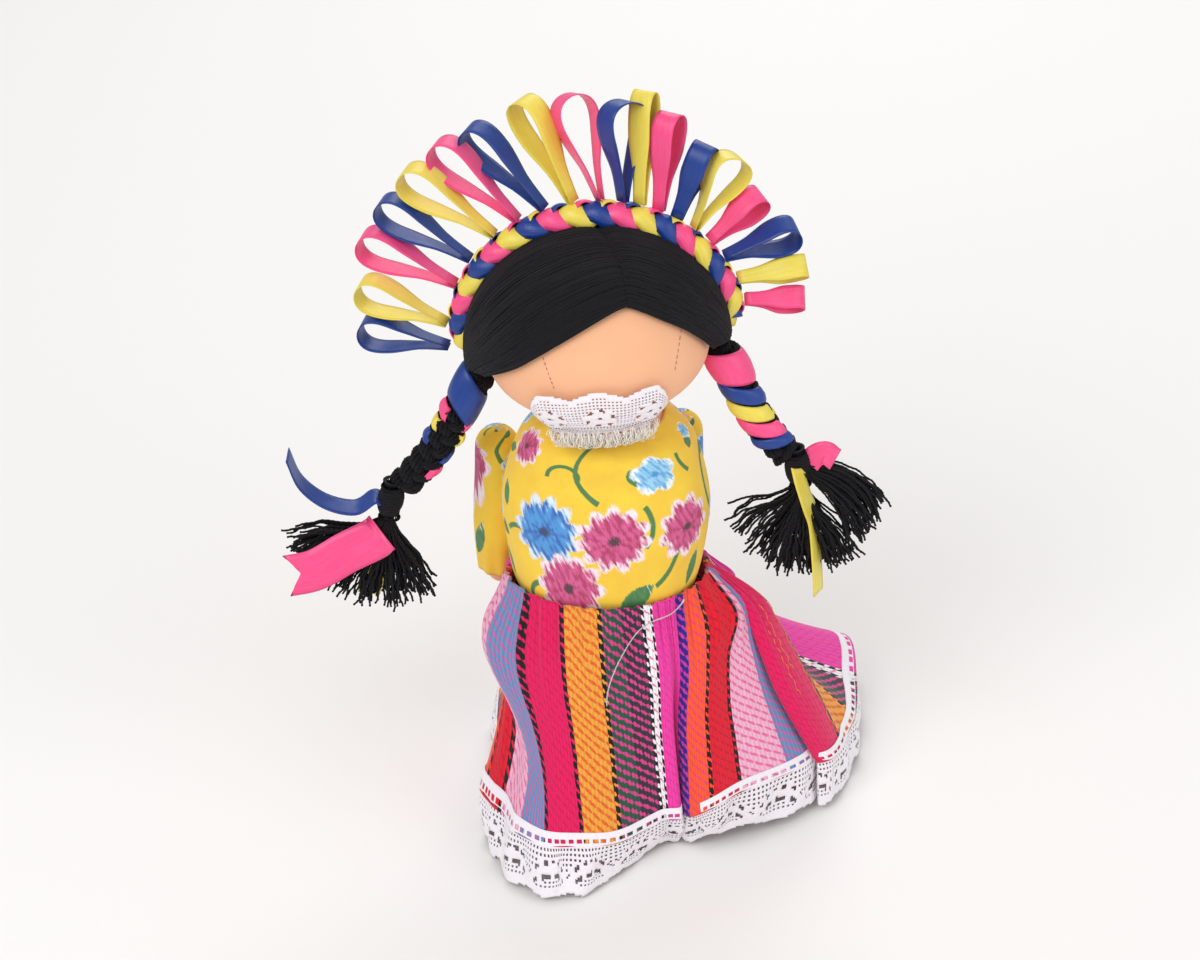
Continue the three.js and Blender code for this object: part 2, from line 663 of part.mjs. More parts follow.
// Tassel: the braid's ends below the tie, spread like a fan. The knot is its origin
function makeTassel(side, knot) {
  const { name, sign, spread, tilt } = side;
  const group = new THREE.Group();
  group.position.copy(knot);
  group.rotation.y = rad(sign * -tilt);
  head.add(group);
  add(`tassel_tie_${name}`, new THREE.SphereGeometry(TIE_RADIUS, 12, 8), "blue_satin", group);
  const neckZ = -(TIE_RADIUS + SEAM_GAP);
  const [outer, inner] = spread;
  const shape = new THREE.Shape();
  shape.moveTo(sign * -TASSEL_NECK, neckZ);
  shape.lineTo(sign * TASSEL_NECK, neckZ);
  for (let i = 0; i <= 12; i += 1) {
    const angle = THREE.MathUtils.lerp(outer, -inner, i / 12);
    const shorter = angle < 0 ? TASSEL_INNER_SHARE : TASSEL_OUTER_SHARE;
    const reach = TASSEL_LENGTH * (1 - (1 - shorter) * Math.sin(rad(Math.abs(angle))) ** 2);
    shape.lineTo(sign * reach * Math.sin(rad(angle)), -reach * Math.cos(rad(angle)));
  }
  const settings = { depth: TASSEL_THICKNESS, bevelEnabled: false };
  const geometry = new THREE.ExtrudeGeometry(shape, settings);
  geometry.translate(0, 0, -TASSEL_THICKNESS / 2);
  geometry.rotateX(Math.PI / 2);
  const places = geometry.attributes.position;
  for (let i = 0; i < places.count; i += 1) {
    const reach = Math.hypot(places.getX(i), places.getZ(i)) / TASSEL_LENGTH;
    places.setY(i, places.getY(i) * THREE.MathUtils.lerp(0.45, 1, reach));
  }
  add(`tassel_${name}`, geometry, "black_yarn", group);
  return group;
}

// Loose tails of ribbon at the ties, laid by hand in the tassel's frame, in shares of its length
const tails = {
  left: [
    { name: "tail_blue_left", colour: "blue_satin", width: RIBBON_WIDTH, across: [0, 1, 0.15],
      route: [[-0.14, -0.029, 0.014], [-0.286, -0.114, -0.043], [-0.514, -0.171, 0.029],
        [-0.714, -0.2, 0.2], [-0.829, -0.229, 0.457]] },
    { name: "tail_pink_left", colour: "pink_satin", width: WIDE_RIBBON_WIDTH, across: [0.25, 0.35, 0.9],
      route: [[-0.114, -0.146, -0.314], [-0.314, -0.197, -0.429],
        [-0.543, -0.269, -0.571], [-0.771, -0.314, -0.629]] },
    { name: "tail_yellow_left", colour: "yellow_satin", width: RIBBON_WIDTH, across: [1, 0.2, 0],
      route: [[-0.057, 0.16, -0.743], [-0.086, 0.183, -0.886], [-0.114, 0.177, -1.057]] },
  ],
  right: [
    { name: "tail_yellow_right", colour: "yellow_satin", width: RIBBON_WIDTH, across: [0.2, 1, 0],
      route: [[0, -0.229, 0], [0.029, -0.237, -0.371],
        [0.057, -0.251, -0.743], [0.014, -0.263, -1.143]] },
    { name: "tail_pink_right", colour: "pink_satin", width: RIBBON_WIDTH, across: [0, 0.3, 1],
      route: [[0.137, -0.029, 0.029], [0.229, -0.043, 0.043], [0.343, -0.029, 0.029]] },
  ],
};

function makeTails(name, group) {
  for (const tail of tails[name]) {
    const route = tail.route.map(([x, y, z]) => vec(x, y, z).multiplyScalar(TASSEL_LENGTH));
    const points = new THREE.CatmullRomCurve3(route).getPoints(8);
    const widths = points.map(() => vec(...tail.across));
    add(tail.name, ribbon(points, widths, tail.width, RIBBON_THICKNESS), tail.colour, group);
  }
}

// Shoulder: the sleeve rests on the blouse, at an angle from the side towards the back
function shoulderPoint({ sign, armAngle, armLean }) {
  const radius = profileRadius(torsoSide, ARM_PIVOT_Z);
  const depth = radius * torsoDepth(ARM_PIVOT_Z);
  const a = rad(armAngle);
  const normal = vec(Math.cos(a) / radius, Math.sin(a) / depth, 0).normalize();
  const leanedBack = (SLEEVE_LENGTH / 2) * Math.tan(rad(armLean)) * normal.y;
  const widest = Math.max(SLEEVE_SHOULDER, SLEEVE_RADIUS - leanedBack);
  const point = vec(radius * Math.cos(a), depth * Math.sin(a), ARM_PIVOT_Z);
  point.addScaledVector(normal, SEAM_GAP + BLOUSE_WALL + SEAM_GAP + widest);
  point.x *= sign;
  return point;
}

// Arm: its frame hangs from the middle of the rounded shoulder
function makeArm(side) {
  const { name, armLean } = side;
  const group = new THREE.Group();
  group.position.copy(shoulderPoint(side));
  group.rotation.x = rad(armLean);
  doll.add(group);
  const sleeve = smooth(
    [
      [SLEEVE_MOUTH, -SLEEVE_LENGTH],
      [SLEEVE_RADIUS - 0.3, -SLEEVE_LENGTH + 9],
      [SLEEVE_RADIUS, -SLEEVE_LENGTH + 18],
      [SLEEVE_SHOULDER + 0.3, -8],
      [SLEEVE_SHOULDER, 0],
    ],
    7,
  ).concat(dome(SLEEVE_SHOULDER, 0, [30, 58, 82]));
  add(`sleeve_${name}`, bag(turned(sleeve, 12), turned(inset(sleeve, CLOTH), 12)), "yellow_print", group);
  const path = new THREE.CatmullRomCurve3([
    vec(0, 0, 2),
    vec(0, 0, -SLEEVE_LENGTH / 2),
    vec(0, 0.2, -SLEEVE_LENGTH + 6),
    vec(0, 1, -SLEEVE_LENGTH - 0.5),
    vec(0, HAND_BACK * 0.4, -SLEEVE_LENGTH - 5.5),
    vec(0, HAND_BACK, -SLEEVE_LENGTH - 8),
  ]);
  const arm = ARM_RADIUS;
  const hand = HAND_RADIUS;
  const wrist = WRIST_RADIUS;
  const outside = [arm, arm, arm, arm, wrist, wrist, wrist, wrist, wrist, hand, hand * 0.5];
  const fill = CLOTH + SEAM_GAP;
  const shell = (d) => limbRings(path, outside.map((value) => Math.max(value - d, 0.2)), 12);
  const cloth = shell(0);
  const lining = shell(CLOTH).slice(0, -1);
  const filling = shell(fill).slice(0, -2);
  add(`arm_${name}`, bag([...cloth], lining), "peach_cotton", group);
  add(`arm_stuffing_${name}`, loft(filling), "stuffing", group);
}

// Leg: round at the hip, where it swings under the flat of the torso
const hipZ = TORSO_BOTTOM_Z - SEAM_GAP - LEG_RADIUS;

function makeLeg(side) {
  const { name, sign } = side;
  const group = new THREE.Group();
  group.position.set(sign * LEG_X, 0, hipZ);
  doll.add(group);
  const ankleZ = SOLE_LIFT + SHOE_HEIGHT + SEAM_GAP - hipZ;
  const leg = [
    new THREE.Vector2(0.5, ankleZ),
    new THREE.Vector2(ANKLE_RADIUS * 0.9, ankleZ + 0.4),
    new THREE.Vector2(ANKLE_RADIUS, ankleZ + 3),
    new THREE.Vector2(ANKLE_RADIUS + 0.8, ankleZ + 16),
    new THREE.Vector2(LEG_RADIUS - 0.4, ankleZ + 32),
    ...dome(LEG_RADIUS, 0, [-12, 8, 28, 48, 66]),
  ].reverse();
  const inside = inset(leg, -CLOTH);
  const filling = inset(leg, -CLOTH - SEAM_GAP);
  add(`leg_${name}`, bag(turned(leg, 12), turned(inside.slice(0, -1), 12)), "peach_cotton", group);
  add(`leg_stuffing_${name}`, loft(turned(filling.slice(0, -1), 12)), "stuffing", group);
  const half = SHOE_WIDTH / 2;
  const sole = new THREE.Shape();
  sole.absarc(0, SHOE_HEEL - half, half, 0, Math.PI, false);
  sole.absarc(0, SHOE_HEEL - SHOE_LENGTH + half, half, Math.PI, 2 * Math.PI, false);
  const settings = { depth: SHOE_HEIGHT, bevelEnabled: false, curveSegments: 8 };
  const shoe = new THREE.ExtrudeGeometry(sole, settings);
  shoe.translate(0, 0, SOLE_LIFT - hipZ);
  add(`shoe_${name}`, shoe, "black_felt", group);
}

makeTorso();
makeBlouse();
makeSkirt();
makeThread();
makeHead();
makeStitches("eye_left", -EYE_X, EYE_Z, EYE_SIZE, "brown_floss");
makeStitches("eye_right", EYE_X, EYE_Z, EYE_SIZE, "brown_floss");
makeStitches("mouth", 0, MOUTH_Z, MOUTH_SIZE, "red_floss");
makeCollar();
makeHair();
makeBand();
makeLoops();
for (const side of sideSettings) {
  const knot = makeBraid(side);
  makeTails(side.name, makeTassel(side, knot));
  makeArm(side);
  makeLeg(side);
}

// The origin is the middle of the doll's floor print
const print = new THREE.Box3().setFromObject(doll);
const middle = print.getCenter(vec(0, 0, 0));
doll.position.set(-middle.x, -middle.y, -print.min.z);

export default doll;
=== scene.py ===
# %% [markdown]
# # A rag doll in a printed blouse and a striped skirt
# This lesson dresses a small cloth doll: a stuffed head and body, black yarn hair in two braids,
# a crown of satin ribbon loops, a standing lace collar, and a skirt of hand-loomed twill with a
# lace hem. The solids that come with the frame say where each piece is. Each cell replaces one of
# them with cloth, yarn or ribbon made the way the real one is made.

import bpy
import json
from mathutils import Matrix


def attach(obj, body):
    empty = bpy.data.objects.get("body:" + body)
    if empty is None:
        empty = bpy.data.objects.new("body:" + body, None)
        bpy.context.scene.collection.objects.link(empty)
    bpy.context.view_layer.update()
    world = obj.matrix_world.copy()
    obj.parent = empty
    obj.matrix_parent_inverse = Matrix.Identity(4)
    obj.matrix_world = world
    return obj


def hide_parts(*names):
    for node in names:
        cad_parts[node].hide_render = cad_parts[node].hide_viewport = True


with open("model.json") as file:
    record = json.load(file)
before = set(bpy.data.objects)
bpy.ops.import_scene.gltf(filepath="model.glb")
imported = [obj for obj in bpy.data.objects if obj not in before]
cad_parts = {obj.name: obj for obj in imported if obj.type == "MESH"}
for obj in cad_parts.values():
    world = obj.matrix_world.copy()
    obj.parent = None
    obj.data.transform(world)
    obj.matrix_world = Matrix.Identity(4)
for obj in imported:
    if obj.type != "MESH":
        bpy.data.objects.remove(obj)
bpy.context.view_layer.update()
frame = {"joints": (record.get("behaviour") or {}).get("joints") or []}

# %% Tools, units and the doll's own axes
import json
import math
import random

import bmesh
import bpy
import numpy as np
from mathutils import Matrix, Vector

MM = 0.001
pivots = {joint["name"]: Vector(joint["pos_m"]) for joint in frame["joints"]}
neck = pivots["neck_nod"]
across_head = pivots["right_braid_lift"] - pivots["left_braid_lift"]
head_roll = math.atan2(across_head.z, across_head.x)
head_turn = Matrix.Rotation(-head_roll, 3, "Y")
print("the head is cocked by", round(math.degrees(head_roll), 2), "degrees")


def on_doll(x, y, z):
    """A place in millimetres from the doll's upright axis and the floor."""
    return Vector((neck.x + x * MM, neck.y + y * MM, z * MM))


def on_head(x, y, z):
    """A place in millimetres from the neck's pivot, in the head's own leaning axes."""
    return neck + head_turn @ Vector((x, y, z)) * MM


# %% [markdown]
# The camera comes first. The photo looks down on the doll at about 32 degrees from three quarters
# of a metre, which a lens of 81 mm on a 36 mm sensor repeats.

# %% Camera
ELEVATION = math.radians(32)
DISTANCE = 760 * MM
TARGET = on_doll(-1.7, 0, 106)


def aim(thing, target):
    """Turns a camera or a lamp so that it looks at a point."""
    thing.rotation_euler = (target - thing.location).to_track_quat("-Z", "Y").to_euler()


bpy.ops.object.select_all(action="DESELECT")
bpy.ops.object.camera_add()
camera = bpy.context.object
camera.name = "photo_camera"
camera.location = TARGET + DISTANCE * Vector((0, -math.cos(ELEVATION), math.sin(ELEVATION)))
aim(camera, TARGET)
camera.data.lens = 81
camera.data.sensor_width = 36
bpy.context.scene.camera = camera
print("camera at", tuple(round(c, 3) for c in camera.location))

# %% [markdown]
# Two helpers make nearly every soft piece. A sheet of cloth starts as a flat grid, because a grid
# brings its own UV map, and is then laid along a formula. Yarns and threads are swept tubes: so
# many of them lie side by side that they are made together as one mesh.

# %% Helper for sheets
DECIMETRE = 100


def sheet(name, columns, rows, place, cloth, closed=False):
    """Lays a flat grid along place(u, v). Its UV map is cloth(u, v), millimetres over 100."""
    bpy.ops.object.select_all(action="DESELECT")
    bpy.ops.mesh.primitive_grid_add(x_subdivisions=columns, y_subdivisions=rows, size=1, calc_uvs=True)
    piece = bpy.context.object
    piece.name = name
    mesh = piece.data
    flat = [(v.co.x + 0.5, v.co.y + 0.5) for v in mesh.vertices]
    for vertex, (u, v) in zip(mesh.vertices, flat):
        vertex.co = place(u, v)
    corner_uv = mesh.uv_layers.active.data
    for corner in mesh.loops:
        corner_uv[corner.index].uv = [c / DECIMETRE for c in cloth(*flat[corner.vertex_index])]
    if closed:
        bpy.ops.object.mode_set(mode="EDIT")
        bpy.ops.mesh.select_all(action="SELECT")
        bpy.ops.mesh.remove_doubles(threshold=0.02 * MM)
        bpy.ops.mesh.normals_make_consistent(inside=False)
        bpy.ops.object.mode_set(mode="OBJECT")
    bpy.ops.object.shade_smooth()
    return piece


def thicken(piece, thickness, offset=0):
    """Gives a sheet its real thickness in millimetres."""
    bpy.context.view_layer.objects.active = piece
    modifier = piece.modifiers.new("cloth thickness", "SOLIDIFY")
    modifier.thickness = thickness * MM
    modifier.offset = offset
    bpy.ops.object.modifier_apply(modifier=modifier.name)


# %% Helper for yarns and threads
def turning_frames(path):
    """Two directions square to a path at each of its points, without twist."""
    along = np.gradient(path, axis=0)
    along /= np.linalg.norm(along, axis=1)[:, None] + 1e-12
    start = np.cross(along[0], (0.31, 0.94, 0.12))
    side = [start / np.linalg.norm(start)]
    for step in along[1:]:
        turned = side[-1] - step * (side[-1] @ step)
        side.append(turned / np.linalg.norm(turned))
    side = np.array(side)
    return side, np.cross(along, side)


def yarns(name, paths, radius, sides=6, twist=0.0):
    """Tubes along paths, as one mesh. radius is in metres, and twist in turns of the section for
    each metre."""
    points, faces, uvs = [], [], []
    for path in paths:
        path = np.asarray(path, float)
        side, up = turning_frames(path)
        steps = np.linalg.norm(np.diff(path, axis=0), axis=1)
        run = np.concatenate([[0], np.cumsum(steps)])
        first = len(points)
        for k, centre in enumerate(path):
            for j in range(sides):
                a = 2 * math.pi * (j / sides + run[k] * twist)
                points.append(centre + radius * (side[k] * math.cos(a) + up[k] * math.sin(a)))
        for k in range(len(path) - 1):
            for j in range(sides):
                a, b = first + k * sides + j, first + k * sides + (j + 1) % sides
                faces.append((a, b, b + sides, a + sides))
                low, high = run[k] / MM / DECIMETRE, run[k + 1] / MM / DECIMETRE
                uvs += [(j / sides, low), ((j + 1) / sides, low), ((j + 1) / sides, high), (j / sides, high)]
        last = first + (len(path) - 1) * sides
        faces.append(tuple(range(first + sides - 1, first - 1, -1)))
        faces.append(tuple(range(last, last + sides)))
        uvs += [(0.5, 0)] * (2 * sides)
    mesh = bpy.data.meshes.new(name)
    mesh.from_pydata([tuple(p) for p in points], [], faces)
    layer = mesh.uv_layers.new(name="UVMap")
    layer.data.foreach_set("uv", np.array(uvs, np.float32).ravel())
    mesh.validate()
    piece = bpy.data.objects.new(name, mesh)
    bpy.context.scene.collection.objects.link(piece)
    bpy.ops.object.select_all(action="DESELECT")
    piece.select_set(True)
    bpy.context.view_layer.objects.active = piece
    bpy.ops.object.shade_smooth()
    return piece


def curve_through(points, count):
    """A smooth run of count points through a few, all as far apart in the curve's own measure."""
    points = [np.array(p, float) for p in points]
    ends = [2 * points[0] - points[1], *points, 2 * points[-1] - points[-2]]
    spans = len(points) - 1
    out = []
    for i in range(count):
        t = spans * i / (count - 1)
        k = min(int(t), spans - 1)
        f = t - k
        a, b, c, d = ends[k:k + 4]
        out.append(0.5 * (2 * b + (c - a) * f + (2 * a - 5 * b + 4 * c - d) * f ** 2
                          + (3 * b - a - 3 * c + d) * f ** 3))
    return np.array(out)


def dress(piece, body, slot, material, *nodes):
    """Gives a piece its material, the body that it rides on and the solids that it stands for."""
    piece.data.materials.clear()
    piece.data.materials.append(material)
    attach(piece, body)
    if nodes:
        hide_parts(*nodes)
    print(piece.name, "rides on", body, "with", len(piece.data.polygons), "faces")
    return piece


# %% [markdown]
# One short end of white sewing thread was left at the waist. It is the doll's only free cord, so
# its route is the one that its solid follows. It lies on the skirt all the way down.

# %% Loose thread
THREAD_DIAMETER = 0.5
THREAD_POINTS = [
    (22, -15.73, 76), (21.7, -16.27, 75.6), (20.5, -17.78, 74.8), (18.5, -19.75, 74),
    (16, -21.22, 73.6), (13.5, -22.18, 73.2), (11, -23.42, 72.4), (8.8, -24.63, 71), (7, -25.88, 69),
    (5.4, -27.29, 66.8), (4, -28.58, 64.6), (2.7, -30.03, 62.4), (1.6, -31.4, 60), (0.8, -32.55, 57.6),
    (0.3, -33.58, 55.2), (0.2, -34.59, 52.6),
]
thread_path = np.array([on_doll(*p) for p in curve_through(THREAD_POINTS, 90)])
loose_thread = yarns("loose_thread_end", [thread_path], THREAD_DIAMETER / 2 * MM, sides=8, twist=900)

# %% [markdown]
# Shaders are written as sums. A Signal is a value that the nodes of a shader work out, and each sum
# on it adds the Math node that does it.

# %% Helpers for shaders
def colour(hex_code):
    """An sRGB hex value as the linear colour that shaders and lamps take."""
    channels = [int(hex_code[i:i + 2], 16) / 255 for i in (0, 2, 4)]
    return [c / 12.92 if c <= 0.04045 else ((c + 0.055) / 1.055) ** 2.4 for c in channels] + [1.0]


def feed(value, socket):
    """Gives a socket a signal, another node's socket, a hex colour or a plain value."""
    if isinstance(value, Signal):
        value = value.socket
    if isinstance(value, bpy.types.NodeSocket):
        socket.id_data.links.new(value, socket)
    else:
        socket.default_value = colour(value) if isinstance(value, str) else value


def add_node(tree, kind, settings=None, **links):
    """Adds a node. settings holds its properties and socket values, and links its inputs by name,
    or by number as i0, i1 and so on."""
    node = tree.nodes.new(kind)
    for key, value in (settings or {}).items():
        if isinstance(key, int) or key in node.inputs:
            feed(value, node.inputs[key])
        else:
            setattr(node, key, value)
    for key, value in links.items():
        numbered = key[0] == "i" and key[1:].isdigit()
        feed(value, node.inputs[int(key[1:]) if numbered else key])
    return node


class Signal:
    """A value in a shader, held as the socket that gives it."""

    def __init__(self, socket):
        self.socket = socket

    def node(self, kind, settings=None, output=0, **links):
        """One output of a new node in the same shader."""
        return Signal(add_node(self.socket.id_data, kind, settings, **links).outputs[output])

    def apply(self, operation, other=0.0):
        """The result of one Math node on this value and another."""
        return self.node("ShaderNodeMath", {"operation": operation}, i0=self, i1=other)

    def __add__(self, other):
        return self.apply("ADD", other)

    def __sub__(self, other):
        return self.apply("SUBTRACT", other)

    def __rsub__(self, other):
        return self.node("ShaderNodeMath", {"operation": "SUBTRACT"}, i0=other, i1=self)

    def __mul__(self, other):
        return self.apply("MULTIPLY", other)

    def __truediv__(self, other):
        return self.apply("DIVIDE", other)

    def __mod__(self, other):
        return self.apply("FLOORED_MODULO", other)

    def __abs__(self):
        return self.apply("ABSOLUTE")


# %% [markdown]
# The floor is one pale sweep. Three large soft lamps stand round the doll, and a pale world fills
# the shadows, so that a colour renders about as it is written.

# %% Floor, world and lamps
FLOOR_SIZE = 6
bpy.ops.object.select_all(action="DESELECT")
bpy.ops.mesh.primitive_plane_add(size=FLOOR_SIZE, location=(0, 0, 0))
floor = bpy.context.object
floor.name = "studio_floor"
floor_paper = bpy.data.materials.new("matt_white_paper")
floor_paper.use_nodes = True
tree = floor_paper.node_tree
shader = tree.nodes["Principled BSDF"]
shader.inputs["Base Color"].default_value = colour("f4f2ef")
shader.inputs["Roughness"].default_value = 0.9
floor.data.materials.append(floor_paper)

world = bpy.data.worlds.new("pale_room")
bpy.context.scene.world = world
world.use_nodes = True
tree = world.node_tree
tree.nodes.clear()
rays = add_node(tree, "ShaderNodeLightPath")
room = add_node(tree, "ShaderNodeBackground", {"Color": colour("f5f6f8"), "Strength": 0.62})
wall = add_node(tree, "ShaderNodeBackground", {"Color": colour("f1f1f2"), "Strength": 1.0})
seen = add_node(tree, "ShaderNodeMath", {"operation": "MAXIMUM"}, i0=rays.outputs["Is Camera Ray"],
                i1=rays.outputs["Is Transmission Ray"])
mixed = add_node(tree, "ShaderNodeMixShader", i0=seen.outputs[0], i1=room.outputs[0], i2=wall.outputs[0])
add_node(tree, "ShaderNodeOutputWorld", Surface=mixed.outputs[0])

LAMPS = [
    ("key_softbox", (-0.55, -0.75, 0.95), 0.75, 7.2),
    ("fill_softbox", (0.85, -0.55, 0.6), 0.8, 3.0),
    ("back_softbox", (0.15, 0.95, 0.8), 0.7, 4.0),
]
for name, place, size, power in LAMPS:
    bpy.ops.object.select_all(action="DESELECT")
    bpy.ops.object.light_add(type="AREA", location=place)
    lamp = bpy.context.object
    lamp.name = name
    lamp.data.size = size
    lamp.data.energy = power
    aim(lamp, on_doll(0, 0, 90))
bpy.context.scene.view_settings.view_transform = "Standard"
print("lamps:", [lamp[0] for lamp in LAMPS])

# %% [markdown]
# Every finish here is textile. Its broad colour comes first, then the light and dark of the yarns,
# and a bump at the yarn's own spacing. Cloth also has a weak sheen, the light that loose fibres
# catch at its edges.

# %% Helpers for finishes
def finish(name, hex_code, roughness, sheen=0.0, sheen_hex="ffffff", specular=0.5):
    """A new material with its plain values set on the shader's own sockets."""
    material = bpy.data.materials.new(name)
    material.use_nodes = True
    shader = material.node_tree.nodes["Principled BSDF"]
    shader.inputs["Base Color"].default_value = colour(hex_code)
    shader.inputs["Roughness"].default_value = roughness
    shader.inputs["Specular IOR Level"].default_value = specular
    shader.inputs["Sheen Weight"].default_value = sheen
    shader.inputs["Sheen Tint"].default_value = colour(sheen_hex)
    return material, material.node_tree, shader


def millimetres(tree, turn=0.0, stretch=(1, 1, 1)):
    """The piece's UV map in millimetres, turned by some degrees and stretched."""
    uv = add_node(tree, "ShaderNodeUVMap", {"uv_map": "UVMap"})
    mapping = add_node(tree, "ShaderNodeMapping", {"Scale": [DECIMETRE * s for s in stretch],
                                                   "Rotation": (0, 0, math.radians(turn))},
                       Vector=uv.outputs[0])
    return Signal(mapping.outputs[0])


def in_object(tree):
    """Object coordinates in millimetres."""
    place = add_node(tree, "ShaderNodeTexCoord")
    mapping = add_node(tree, "ShaderNodeMapping", {"Scale": [1 / MM] * 3}, Vector=place.outputs["Object"])
    return Signal(mapping.outputs[0])


def split(vector):
    """The x and the y of a vector."""
    return [vector.node("ShaderNodeSeparateXYZ", None, output, i0=vector) for output in (0, 1)]


def shade(factor, low, high):
    """A mix of two colours. Each is a hex value or another node's colour."""
    return factor.node("ShaderNodeMix", {"data_type": "RGBA"}, 2, Factor=factor, i6=low, i7=high)


def noise(vector, scale, detail=2):
    """Smooth noise from 0 to 1."""
    return vector.node("ShaderNodeTexNoise", {"Scale": scale, "Detail": detail}, "Fac", Vector=vector)


def waves(vector, period, direction="X"):
    """Ridges in one direction, one for every period."""
    settings = {"Scale": 2 * math.pi / 20 / period, "wave_profile": "SIN", "bands_direction": direction}
    return vector.node("ShaderNodeTexWave", settings, "Fac", Vector=vector)


def paint(shader, value):
    """Gives the shader its colour."""
    feed(value, shader.inputs["Base Color"])


def raise_by(shader, height, distance, strength=0.6):
    """Bump of so many millimetres."""
    bump = height.node("ShaderNodeBump", {"Distance": distance * MM, "Strength": strength}, Height=height)
    feed(bump, shader.inputs["Normal"])


# %% [markdown]
# Satin ribbon is woven polyester. Its floating threads run along the ribbon, so the highlight is
# stretched across it. The shader's anisotropy does that, and a fine wave gives the thread lines
# and the small ridges of the woven edge. Long noise streaks along the ribbon mix a darker shaded
# tone into the lit one: painted shade and highlight.

# %% Satin ribbon
RIBBON_WIDTH = 6.5
RIBBON_THICKNESS = 0.25


def satin(name, hex_code, dark_hex):
    material, tree, shader = finish(name, hex_code, 0.36, sheen=0.06, sheen_hex=hex_code)
    shader.inputs["Anisotropic"].default_value = 0.55
    place = millimetres(tree)
    # Painted shade and highlight: streaks along the ribbon mix the shaded tone dark_hex into the lit tone
    # hex_code.
    painted_light_streaks = noise(millimetres(tree, stretch=(1, 0.06, 1)), 2.2)
    paint(shader, shade(painted_light_streaks, dark_hex, hex_code))
    raise_by(shader, waves(place, 0.45) + waves(place, 0.7, "Y"), 0.03, 0.5)
    return material


satins = {
    "pink": satin("pink_polyester_satin", "ff5a94", "ee3f7e"),
    "blue": satin("blue_polyester_satin", "16439c", "0e2f74"),
    "yellow": satin("yellow_polyester_satin", "f5e462", "e2ca44"),
}

# %% [markdown]
# The hair, braids and tassels are soft black acrylic yarn of two plies. It is nearly black, and
# what shows is the grey sheen of its fibres, so the sheen matters more than the colour.

# %% Yarn, floss, thread and loose fibres
def spun(name, hex_code, dark_hex, roughness=0.85, sheen=0.5, sheen_hex="ffffff"):
    """Twisted yarn: slanting plies along each strand, darker in the grooves between them as painted shade,
    with uneven dye.
    """
    material, tree, shader = finish(name, hex_code, roughness, sheen, sheen_hex, 0.3)
    plies = waves(millimetres(tree, stretch=(1.4, 1, 1), turn=35), 0.5, "Y")
    # Painted shade: the ply wave darkens the grooves between plies, and the noise adds uneven dye.
    paint(shader, shade(plies * noise(in_object(tree), 0.35), dark_hex, hex_code))
    raise_by(shader, plies, 0.12)
    return material


def fibrous(name, colours, roughness, sheen, grain, detail, bump, sheen_hex="ffffff"):
    """Loose fibres. colours are the plain one and the two that the fibres' noise mixes."""
    plain, dark, light = colours
    material, tree, shader = finish(name, plain, roughness, sheen, sheen_hex)
    fibres = noise(in_object(tree), grain, detail)
    paint(shader, shade(fibres, dark, light))
    if bump:
        raise_by(shader, fibres, bump)
    return material


black_yarn = spun("black_acrylic_yarn", "1d1b20", "0c0b0e", roughness=0.8, sheen=0.14, sheen_hex="8a8690")
white_thread = spun("white_cotton_thread", "fcfbf9", "ecebe8")
brown_floss = spun("brown_cotton_floss", "5a3424", "3a2018", roughness=0.6)
red_floss = spun("red_cotton_floss", "d0505a", "b03040", roughness=0.6)
black_felt = fibrous("black_wool_felt", ("1f1d20", "151416", "2b292d"), 0.95, 0.5, 2.5, 6, 0.15, "6a686c")
white_lace = fibrous("white_nylon_lace", ("f6f0f5", "e9dfe8", "fbf8fb"), 0.75, 0.4, 1.6, 4, 0.08)
cream_fray = fibrous("cream_cotton_fray", ("fbf3e6", "f4e8d2", "fdf9f0"), 0.85, 0.4, 0.5, 3, 0)
polyester_fill = fibrous("white_polyester_fill", ("f2f0ea", "e4e1da", "faf9f6"), 0.95, 0.3, 0.6, 5, 0.5)
dress(loose_thread, "torso", "white_thread", white_thread, "loose_thread")

# %% Helpers for shapes
def lerp(a, b, t):
    return a + (b - a) * t


def clamp(value, low=0.0, high=1.0):
    return max(low, min(high, value))


def ease(value, low, high):
    t = clamp((value - low) / (high - low))
    return t * t * (3 - 2 * t)


def sample(run, t):
    """The value at a share t along a run of evenly spaced ones."""
    k = clamp(t) * (len(run) - 1)
    i = min(int(k), len(run) - 2)
    return lerp(run[i], run[i + 1], k - i)


def outline(points, samples):
    """A smooth run of (radius, height) through a few points, as a function from 0 to 1."""
    run = curve_through(points, samples)
    return lambda v: sample(run, v)


def ring(radius, share, depth=1.0):
    """x and y at a share of a turn round a ring. depth flattens it from front to back."""
    a = 2 * math.pi * share
    return radius * math.cos(a), radius * depth * math.sin(a)


def arc(radius, height, angles):
    """Points (radius, height) of a dome of one radius over a height, at some angles in degrees."""
    return [(radius * math.cos(math.radians(a)), height + radius * math.sin(math.radians(a))) for a in angles]


def fill(name, columns, rows, place, size, body, node):
    """The stuffing inside a piece. size is its cloth's width and height in millimetres."""
    filling = sheet(name, columns, rows, place, lambda u, v: (size[0] * u, size[1] * v), closed=True)
    return dress(filling, body, "polyester_fill", polyester_fill, node)


# %% [markdown]
# The body is a small bag of peach cotton, filled tight through its lower end. The cloth is a sheet
# laid round the bag's outline, and the filling is a slightly smaller and rougher form inside it.

# %% Torso and its stuffing
def torso_depth(z):
    """How deep the torso is against its width. It flattens below the shoulders."""
    return lerp(0.76, 1, ease(z, 113, 129))


TORSO_SIDE = [(22, 67), (25.5, 77), (27.4, 91), (28, 103), (25.4, 115), (21.5, 123.5), (15, 129)]
TORSO_FILL_HEIGHTS = (63.2, 132.8)
torso_line = outline([(0.2, 62), (9, 62), (16, 62.3), *TORSO_SIDE, *arc(8, 126, (35, 55, 75, 89))], 60)


def torso_point(u, v, out=0.0):
    radius, z = torso_line(v)
    return on_doll(*ring(radius + out, u, torso_depth(z)), z)


